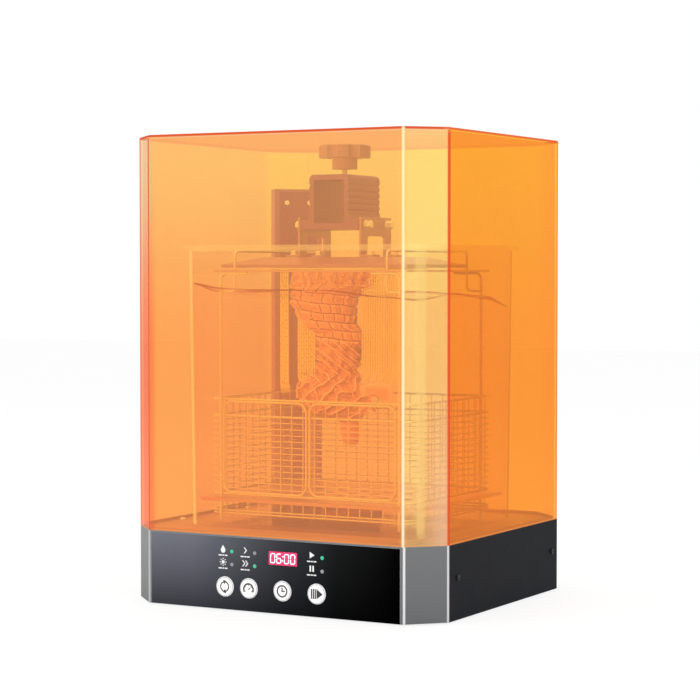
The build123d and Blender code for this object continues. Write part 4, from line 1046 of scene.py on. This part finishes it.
def blocks(u, v):
    """Staggered rounded blocks, 0 in the joints."""
    height = 8.6
    row = math.floor(v / height)
    in_row = v / height - row
    shifted = u / (8.2 + 3.2 * scatter(row, 3)) + 0.5 * (row % 2) + scatter(row, 7)
    column = math.floor(shifted)
    side = abs((shifted - column) * 2 - 1) ** 5
    end = abs(in_row * 2 - 1) ** 4
    return max(0.0, (1 - side) * (1 - end)) ** 0.6 * (0.62 + 0.55 * scatter(column, row))


def column_relief(angle, z, half_width):
    """Height in mm of the carving over the column's smooth body."""
    # weights of the zones up the column
    brick = clamp((z - 236) / 6) * clamp((297 - z) / 5)
    cloth = clamp((z - 200) / 10) * clamp((243 - z) / 5)
    flare = clamp((z - 167) / 8) * clamp((214 - z) / 10)
    head = clamp((z - 294) / 4)
    cosine, sine = math.cos(angle), math.sin(angle)
    along = cosine * half_width
    point = Vector((cosine * half_width * 0.06, sine * half_width * 0.06, z * 0.06))
    warp = 3.2 * noise.noise(point * 0.9)
    arc = angle * 24.0
    relief = 0.0
    if brick > 0:
        pattern = blocks(arc + 0.5 * warp, z - 236 + warp * 0.5 + 0.10 * along)
        relief += brick * (3.4 * pattern - 1.8)
        ridge = 1 - abs(math.sin(arc * 0.30 + 0.8 * warp))
        relief += brick * (1.6 * ridge ** 2) * max(0.0, cosine) * 1.1
    if cloth > 0:
        slant = (z + 0.80 * along) * 0.62 + 1.6 * warp * 0.5
        ridge = 1 - abs(math.sin(slant * 0.62))
        relief += cloth * (3.4 * ridge ** 1.7 - 1.5)
        relief += cloth * 1.2 * math.sin(arc * 0.42 + warp)
    if flare > 0:
        slant = 0.26 * z + 0.22 * arc + 1.7 * noise.noise(point * 1.2)
        ridge = 1 - abs(math.sin(slant))
        relief += flare * (4.6 * ridge ** 1.6 - 2.2)
        relief += flare * 2.6 * noise.noise(point * 2.0)
    if head > 0:
        relief += head * (0.8 * math.sin(arc * 0.5 + 2 * warp)
                          + 1.0 * noise.noise(point * 2.2) - 1.0)
    rough = (1.9 - 1.1 * brick) * noise.fractal(point * 1.7, 0.9, 2.1, 3)
    relief += min(1.0, half_width / 20.0) * (rough + 0.18 * noise.noise(point * 9.0))
    if z < 166:
        # the stem stays nearly smooth, with fine rings
        relief = relief * max(0.12, (z - 143) / 60) + 0.25 * math.sin(z * 1.1)
    if z > 309.8:
        relief *= 0.5
    return relief


def printed_column():
    bottom, top = BODY[0][0], BODY[-1][0]
    verts = []
    for j in range(COLUMN_ROWS + 1):
        z = bottom + (top - bottom) * (j / COLUMN_ROWS)
        center, half_width, half_depth = body_at(z)
        for i in range(COLUMN_SIDES):
            angle = 2 * math.pi * i / COLUMN_SIDES
            relief = min(column_relief(angle, z, half_width), 5.5)
            scale = max(0.3, 1.0 + relief / max(6.0, half_width))
            verts.append(at(center + math.cos(angle) * half_width * scale,
                            math.sin(angle) * half_depth * scale, z))
    faces = quads(COLUMN_ROWS + 1, COLUMN_SIDES)
    faces += [first_cap(COLUMN_SIDES)[::-1], last_cap(COLUMN_ROWS + 1, COLUMN_SIDES)]
    column = add_mesh("printed_column", (verts, faces), "cured_resin", "platform_body",
                      sharp=88)
    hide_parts("sample_print")


# outline of the fin, as (along, z)
FIN = (
    (8, 187.5), (17, 190), (24, 191.5), (30, 189.5), (38, 184.5), (45, 181.0), (46.8, 186),
    (46.4, 193), (45.6, 200.6), (36, 202.6), (26, 202.4), (16, 200), (8, 198.5),
)
FIN_RINGS = ((1.0, 3.2), (1.0, 8.8), (0.90, 9.9), (0.55, 10.6))    # scale, across
FIN_CREST = 10.9                                                  # across, at the centre


def printed_fin():
    """Flat fin with a bevelled edge, reaching out to the right."""
    count = len(FIN)
    center = sum(p[0] for p in FIN) / count
    center_z = sum(p[1] for p in FIN) / count

    def lean(along):
        return 0.048 * (along - 8)

    verts = [at(center + (along - center) * scale, across - lean(along),
                center_z + (z - center_z) * scale)
             for scale, across in FIN_RINGS for along, z in FIN]
    verts.append(at(center, FIN_CREST - lean(center), center_z))
    faces = quads(len(FIN_RINGS), count)
    last = (len(FIN_RINGS) - 1) * count
    faces += [(last + i, last + (i + 1) % count, len(verts) - 1) for i in range(count)]
    faces.append(first_cap(count))
    add_mesh("printed_fin", (verts, faces), "cured_resin", "platform_body",
             sharp=25)


# folds running down from left to right: first z, last z, first along, last along, across
LONG_FOLDS = (
    (236, 210, -27, 6, 20.5), (230, 203, -27, 4, 20.0), (243, 218, -22, 12, 21.0),
    (222, 198, -28, -8, 19.5), (214, 186, -20, 9, 21.0),
)
# three (along, across, z) points, then start width, end width, thickness, tilt in radians
FIN_FELLOW = (((12, -12, 186), (22, -16, 182), (30, -14, 176)), 6.0, 4.5, 2.2, -0.3)
LOBES = (
    (((-42, 4, 203), (-40, 12, 190), (-30, 20, 178)), 4.5, 3.2, 2.8, 0.2),
    (((-34, 14, 206), (-26, 22, 192), (-20, 22, 176)), 3.0, 2.6, 2.4, 0.3),
    (((20, 12, 200), (24, 14, 188), (17, 17, 174)), 3.6, 2.8, 2.6, -0.4),
    (((-12, 22, 205), (-6, 25, 190), (-2, 22, 172)), 2.8, 2.2, 2.2, 0.1),
    (((4, 22, 204), (9, 23, 190), (8, 20, 172)), 2.6, 2.0, 2.2, 0.0),
)
UPPER_LEFT_FLAPS = (
    (((-50, 4, 290), (-48, 12, 278), (-40, 18, 262)), 4.0, 3.4, 2.6, 0.3),
    (((-46, 10, 294), (-36, 22, 286), (-24, 26, 280)), 3.2, 2.4, 2.2, 0.2),
    (((-44, 8, 272), (-34, 18, 262), (-24, 22, 255)), 3.4, 2.6, 2.4, 0.4),
)
BAND_STEPS, BAND_SIDES = 28, 10


def swept_band(points, start_width, end_width, thickness, tilt, seed):
    """Lens-shaped section along an eased curve, tapered at both ends and closed."""
    verts = []
    for i in range(BAND_STEPS + 1):
        part = i / BAND_STEPS
        place = part * (len(points) - 1)
        k = min(int(place), len(points) - 2)
        step = ease(place - k)
        along, across, z = (a + (b - a) * step for a, b in zip(points[k], points[k + 1]))
        taper = math.sin(math.pi * min(0.97, max(0.03, part)))
        width = (start_width + (end_width - start_width) * part) * max(0.10, taper) ** 0.5
        depth = thickness * max(0.15, taper) ** 0.5
        for side in range(BAND_SIDES):
            angle = 2 * math.pi * side / BAND_SIDES
            up, out = math.sin(angle) * width, math.cos(angle) * depth
            wobble = 1.0 + 0.12 * noise.noise(Vector((i * 0.3, side * 0.8, seed)))
            verts.append(at(along,
                            across + (out * math.cos(tilt) - up * math.sin(tilt)) * wobble,
                            z + (up * math.cos(tilt) + out * math.sin(tilt)) * wobble))
    rows = BAND_STEPS + 1
    caps = [first_cap(BAND_SIDES)[::-1], last_cap(rows, BAND_SIDES)]
    return verts, quads(rows, BAND_SIDES) + caps


def printed_ribbons():
    """Folds that stand off the body."""
    bands = [FIN_FELLOW]
    for z0, z1, along0, along1, across in LONG_FOLDS:
        middle = (along0 * 0.4 + along1 * 0.6 - 6, across + 1.0, (z0 + z1) / 2 + 3)
        points = ((along0, across - 9, z0), middle, (along1, across - 2.5, z1))
        bands.append((points, 2.2, 1.5, 1.9, 0.5))
    bands += LOBES + UPPER_LEFT_FLAPS
    seed_step = (BAND_STEPS + 1) * BAND_SIDES
    shape = join(swept_band(*band, seed=k * seed_step * 0.01) for k, band in enumerate(bands))
    ribbons = add_mesh("printed_ribbons", shape, "cured_resin", "platform_body",
                       sharp=80)
    smooth = ribbons.modifiers.new("smooth", "SUBSURF")
    smooth.levels = smooth.render_levels = 2


printed_column()
printed_fin()
printed_ribbons()


# ------------------------------------------------------------------ support lattice
SUPPORT_TOP = 310.9


def raft():
    """Thin rounded slab against the platform."""
    outline = rounded_rectangle(67.5, 43.5, radius=6, steps=6)
    count = len(outline)
    verts = [((PLATE_X + x * scale) * MM, (PLATE_Y + y * scale) * MM, z * MM)
             for z, scale in ((310.85, 0.985), (311.1, 1.0), (312.3, 1.0)) for x, y in outline]
    return verts, [first_cap(count)[::-1], last_cap(3, count)] + quads(3, count)


def support_block(alongs, acrosses, end_z, pitch, radius):
    """Grid of hanging rods with a foot and a leaning tip each, zigzag-braced to neighbours."""
    rods = []
    columns = {}
    for i, along in enumerate(alongs):
        for j, across in enumerate(acrosses):
            end = end_z(along, across)
            columns[i, j] = (along, across, end)
            head = laid_out(along, across, SUPPORT_TOP)
            tip = laid_out(along - math.copysign(1.6, along), across * 0.97, end - 3.6)
            rods.append(rod(head, laid_out(along, across, end), radius, 5))
            rods.append(rod(head, laid_out(along, across, SUPPORT_TOP - 2.5), 1.0, 6))
            rods.append(rod(laid_out(along, across, end + 0.3), tip, 0.30, 5))
    for (i, j), (along, across, end) in columns.items():
        for neighbour in (columns.get((i + 1, j)), columns.get((i, j + 1))):
            if not neighbour:
                continue
            lowest = max(end, neighbour[2]) + 2
            z = SUPPORT_TOP - 3 - random.random() * 2
            falling = random.random() < 0.5
            while z - pitch > lowest:
                z0, z1 = (z, z - pitch) if falling else (z - pitch, z)
                rods.append(rod(laid_out(along, across, z0),
                                laid_out(neighbour[0], neighbour[1], z1), 0.34, 4))
                falling = not falling
                z -= pitch
    return rods


def row(start, step, count):
    return [start + step * k for k in range(count)]


def supports():
    shapes = [raft()]
    # right: the broad block, then the column beyond it
    shapes += support_block(
        row(16.5, 2.3, 10), row(-22, 6.3, 7),
        lambda s, d: 208 + 4 * math.sin(s * 0.9) + 3 * math.sin(d) + max(0, 30 - s) * 0.3,
        pitch=3.6, radius=0.52)
    shapes += support_block(row(39.5, 2.05, 7), row(-20, 5.3, 7),
                            lambda s, d: 206 + 2 * math.sin(s * 1.7 + d), pitch=3.4, radius=0.55)
    # left: one block outside the flaps, one beside the trunk
    shapes += support_block((-60.5, -58.3, -56.1, -53.9), row(-14, 5.2, 6),
                            lambda s, d: 200 + 3 * math.sin(d * 0.7), pitch=4.0, radius=0.52)
    shapes += support_block(row(-44.0, 2.2, 8), row(-13, 5.2, 6),
                            lambda s, d: 208 + 3 * math.sin(s + d), pitch=3.8, radius=0.52)
    lattice = add_mesh("support_lattice", join(shapes), "support_resin", "platform_body",
                       sharp=50)
    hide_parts("print_supports")


supports()


# ------------------------------------------------------------------ display
DISPLAY_X, DISPLAY_Z = 11.35, 51.2
DIGIT_BARS = {0: "abcdef", 6: "afgedc"}     # lit bars; a is the top one, then clockwise, g middle
RAISED = (FRONT_Y - 0.16, FRONT_Y + 0.02)   # Y planes of the digits


def digit_bars(center_x, center_z, digit):
    """The lit bars of one digit as slanted six-sided bars."""
    right, top = 4.4 / 2, 8.2 / 2
    gap, thick, slant = 0.22, 0.85, 0.04
    lines = {
        "a": ((-right, top), (right, top)), "b": ((right, top), (right, 0)),
        "c": ((right, 0), (right, -top)), "d": ((-right, -top), (right, -top)),
        "e": ((-right, 0), (-right, -top)), "f": ((-right, top), (-right, 0)),
        "g": ((-right, 0), (right, 0)),
    }
    bars = []
    for key in DIGIT_BARS[digit]:
        (x0, z0), (x1, z1) = lines[key]
        length = math.hypot(x1 - x0, z1 - z0)
        ux, uz = (x1 - x0) / length, (z1 - z0) / length
        near, far, half = gap + thick / 2, length - gap - thick / 2, thick / 2
        outline = []
        for u, v in ((gap, 0), (near, half), (far, half), (length - gap, 0), (far, -half),
                     (near, -half)):
            x, z = x0 + ux * u - uz * v, z0 + uz * u + ux * v
            outline.append((center_x + x + z * slant, center_z + z))
        bars.append(prism(outline, *RAISED))
    return bars


def display():
    outline = rounded_rectangle(14.85, 6.15, radius=0.5, steps=5)
    count = len(outline)
    verts = [((DISPLAY_X + x * scale) * MM, y * MM, (DISPLAY_Z + z * scale) * MM)
             for y, scale in ((-146.05, 1.0), (-147.75, 1.0), (FRONT_Y, 0.985))
             for x, z in outline]
    faces = [first_cap(count), last_cap(3, count)[::-1]] + quads(3, count)
    face = add_mesh("display_face", (verts, faces), "display_glow", "base",
                    sharp=30)
    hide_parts("display_window")
    parts = []
    for x, digit in ((-10.4, 0), (-4.0, 6), (4.0, 0), (10.4, 0)):
        parts += digit_bars(DISPLAY_X + x, DISPLAY_Z, digit)
    for z in (-1.9, 1.9):
        parts.append(prism(circle(DISPLAY_X + z * 0.1, DISPLAY_Z + z, 0.6, 16), *RAISED))
    add_mesh("display_digits", join(parts), "digit_glow", "base", sharp=30)


display()


# ------------------------------------------------------------------ printed symbols
def spoke(c, s, inner, outer, half, z=0.0):
    """Bar between two radii in the direction (c, s)."""
    return [(inner * c - half * s, z + inner * s + half * c),
            (outer * c - half * s, z + outer * s + half * c),
            (outer * c + half * s, z + outer * s - half * c),
            (inner * c + half * s, z + inner * s - half * c)]


def chevron(x):
    return [(x - 0.9, 1.6), (x - 0.2, 1.6), (x + 1.1, 0), (x - 0.2, -1.6), (x - 0.9, -1.6),
            (x + 0.4, 0)]


def drop():
    points = [(0, 2.2)]
    for i in range(21):
        angle = math.radians(30 - 240 * i / 20)
        points.append((1.45 * math.cos(angle), -0.6 + 1.45 * math.sin(angle)))
    return points


def sun():
    angles = [math.pi * i / 4 for i in range(8)]
    rays = [spoke(math.cos(a), math.sin(a), 1.4, 2.15, half=0.22) for a in angles]
    return [circle(0, 0, 0.95, 24)] + rays


def arrow_head(degrees):
    """Head on the cycle's ring, pointing clockwise."""
    s, c = math.sin(math.radians(degrees)), math.cos(math.radians(degrees))
    x, z = 2.2 * s, 2.2 * c
    return [(x + s * 1.1, z + c * 1.1), (x + c * 1.7, z - s * 1.7), (x - s * 1.1, z - c * 1.1)]


def gauge():
    angles = [math.radians(a) for a in (-120, -60, 0, 60, 120)]
    ticks = [spoke(math.sin(a), math.cos(a), 1.6, 2.2, half=0.16, z=-0.4) for a in angles]
    return ticks + [[(-0.55, -0.8), (0.45, -0.5), (1.5, 1.4)]]


# symbol: rings as (inner, outer, start, end, centre z), then flat outlines
SYMBOLS = {
    "drop": ((), [drop()]),
    "sun": ((), sun()),
    "chevron": ((), [chevron(0)]),
    "two_chevrons": ((), [chevron(-1.0), chevron(0.8)]),
    "triangle": ((), [[(-1.2, 1.7), (1.7, 0), (-1.2, -1.7)]]),
    "bars": ((), [box(-1.3, -0.4, 1.6, -1.6), box(0.4, 1.3, 1.6, -1.6)]),
    "cycle": (((1.9, 2.5, 20, 165, 0), (1.9, 2.5, 200, 345, 0)),
              [arrow_head(165), arrow_head(345)]),
    "gauge": (((2.15, 2.95, -120, 120, -0.4),), gauge()),
    "clock": (((2.2, 2.9, 0, 360, 0),),
              [[(-0.32, -0.3), (-0.32, 1.8), (0.32, 1.8), (0.32, -0.3)],
               box(-0.3, 1.5, 0.32, -0.32)]),
    "play": ((), [box(x, x + 1.0, 3.2, -3.2) for x in (-4.0, -2.6, -1.2)]
             + [[(0.2, 3.3), (4.7, 0), (0.2, -3.3)]]),
}
PANEL_MARKS = (         # symbol, x, z
    ("drop", -49.6, 54.4), ("sun", -49.6, 42.5),
    ("chevron", -26.0, 54.4), ("two_chevrons", -26.0, 42.5),
    ("triangle", 43.6, 54.5), ("bars", 43.6, 42.4),
)
MARK_SHIFT = 2.2        # marks sit this far left of their listed x
PANEL_PRINT = (FRONT_Y - 0.06, FRONT_Y + 0.02)
BUTTON_PRINT = (FRONT_Y - 0.86, FRONT_Y - 0.78)


def symbol(kind, x, z, scale, planes):
    rings, outlines = SYMBOLS[kind]
    parts = [arc_band(x, z + ring_z * scale, inner * scale, outer * scale, *planes, start, end)
             for inner, outer, start, end, ring_z in rings]
    return parts + [prism([(x + px * scale, z + pz * scale) for px, pz in outline], *planes)
                    for outline in outlines]


def marks():
    white = []
    for kind, x, z in PANEL_MARKS:
        white += symbol(kind, x - MARK_SHIFT, z + 1.9, 1.7, PANEL_PRINT)
    # three short strokes under each symbol
    for _, x, z in PANEL_MARKS:
        left, base = x - MARK_SHIFT, z - 3.3
        for a, b in ((-4.4, -1.2), (-0.6, 1.2), (1.8, 4.2)):
            stroke = box(left + a * 1.1, left + b * 1.1, base - 1.05, base + 0.05)
            white.append(prism(stroke, *PANEL_PRINT))
    add_mesh("panel_marks", join(white), "ink", "base", sharp=30)
    for name, x, kind, scale in BUTTONS:
        add_mesh("mark_" + name, join(symbol(kind, x, BUTTON_Z, scale, BUTTON_PRINT)),
                 "black_ink", name + "_body", sharp=30)


marks()


# ------------------------------------------------------------------ indicator domes
DOME = ((1.76, -147.9), (1.76, -148.05), (1.55, -148.28), (1.1, -148.44), (0.55, -148.52))
DOME_SIDES = 28         # DOME holds (radius, y)
INDICATORS = (          # object, material, centres as (x, z)
    ("indicator_lit", "led_on", ((-42.4, 54.4), (-18.1, 42.5), (52.1, 54.5))),
    ("indicator_dark", "led_lens", ((-42.4, 42.5), (-18.1, 54.4), (52.1, 42.4))),
)


def dome(center_x, center_z):
    verts = [(x * MM, y * MM, z * MM) for radius, y in DOME
             for x, z in circle(center_x, center_z, radius, DOME_SIDES)]
    caps = [first_cap(DOME_SIDES), last_cap(len(DOME), DOME_SIDES)]
    return verts, quads(len(DOME), DOME_SIDES) + caps


for name, material, centers in INDICATORS:
    add_mesh(name, join(dome(x, z) for x, z in centers), material, "base", sharp=60)


# ------------------------------------------------------------------ floor, lights, camera
def floor():
    """Pale floor, mostly even white to the camera so that only a faint shadow shows."""
    half = 6.0
    mesh = bpy.data.meshes.new("floor")
    corners = [(-half, -half, 0), (half, -half, 0), (half, half, 0), (-half, half, 0)]
    mesh.from_pydata(corners, [], [(0, 1, 2, 3)])
    ground = bpy.data.objects.new("floor", mesh)
    scene.collection.objects.link(ground)
    mat = Material("pale_floor")
    color = mat.mix(mat.noise(3.0, detail=3), (0.90, 0.90, 0.90), (0.92, 0.92, 0.92))
    matte = mat.bsdf(color, roughness=0.7, Specular_IOR_Level=0.1)
    white = mat.mul(mat.node("LightPath").outputs["Is Camera Ray"], 0.82)
    mesh.materials.append(mat.finish(mat.mix_shaders(white, matte, mat.emission())))


def world():
    studio = bpy.data.worlds.new("studio")
    scene.world = studio
    studio.use_nodes = True
    background = studio.node_tree.nodes["Background"]
    background.inputs["Color"].default_value = (1, 1, 1, 1)
    background.inputs["Strength"].default_value = 1.0


def area_light(name, location, size, power):
    light = bpy.data.lights.new(name, "AREA")
    light.energy = power
    light.size = size
    lamp = bpy.data.objects.new(name, light)
    lamp.location = location
    aim = Vector((0, 0, 0.2)) - Vector(location)
    lamp.rotation_euler = aim.to_track_quat("-Z", "Y").to_euler()
    scene.collection.objects.link(lamp)


def camera():
    """In front and to the right, looking slightly down."""
    lens = bpy.data.cameras.new("camera")
    lens.lens = 112.22
    lens.sensor_width = 36.0
    lens.clip_start = 0.05
    viewer = bpy.data.objects.new("camera", lens)
    viewer.location = (1.00770, -1.82659, 0.31137)
    viewer.rotation_euler = (math.radians(90 - 2.128), 0, math.radians(28.918))
    scene.collection.objects.link(viewer)
    scene.camera = viewer


floor()
world()
area_light("key", location=(-1.1, -1.5, 1.6), size=1.2, power=14)
area_light("fill", location=(1.7, -0.8, 1.0), size=1.0, power=5)
area_light("top", location=(0.0, 0.3, 1.9), size=1.4, power=12)
camera()
scene.cycles.transparent_max_bounces = 48     # the clear walls stack up many layers
scene.cycles.max_bounces = 16
scene.view_settings.view_transform = "Standard"
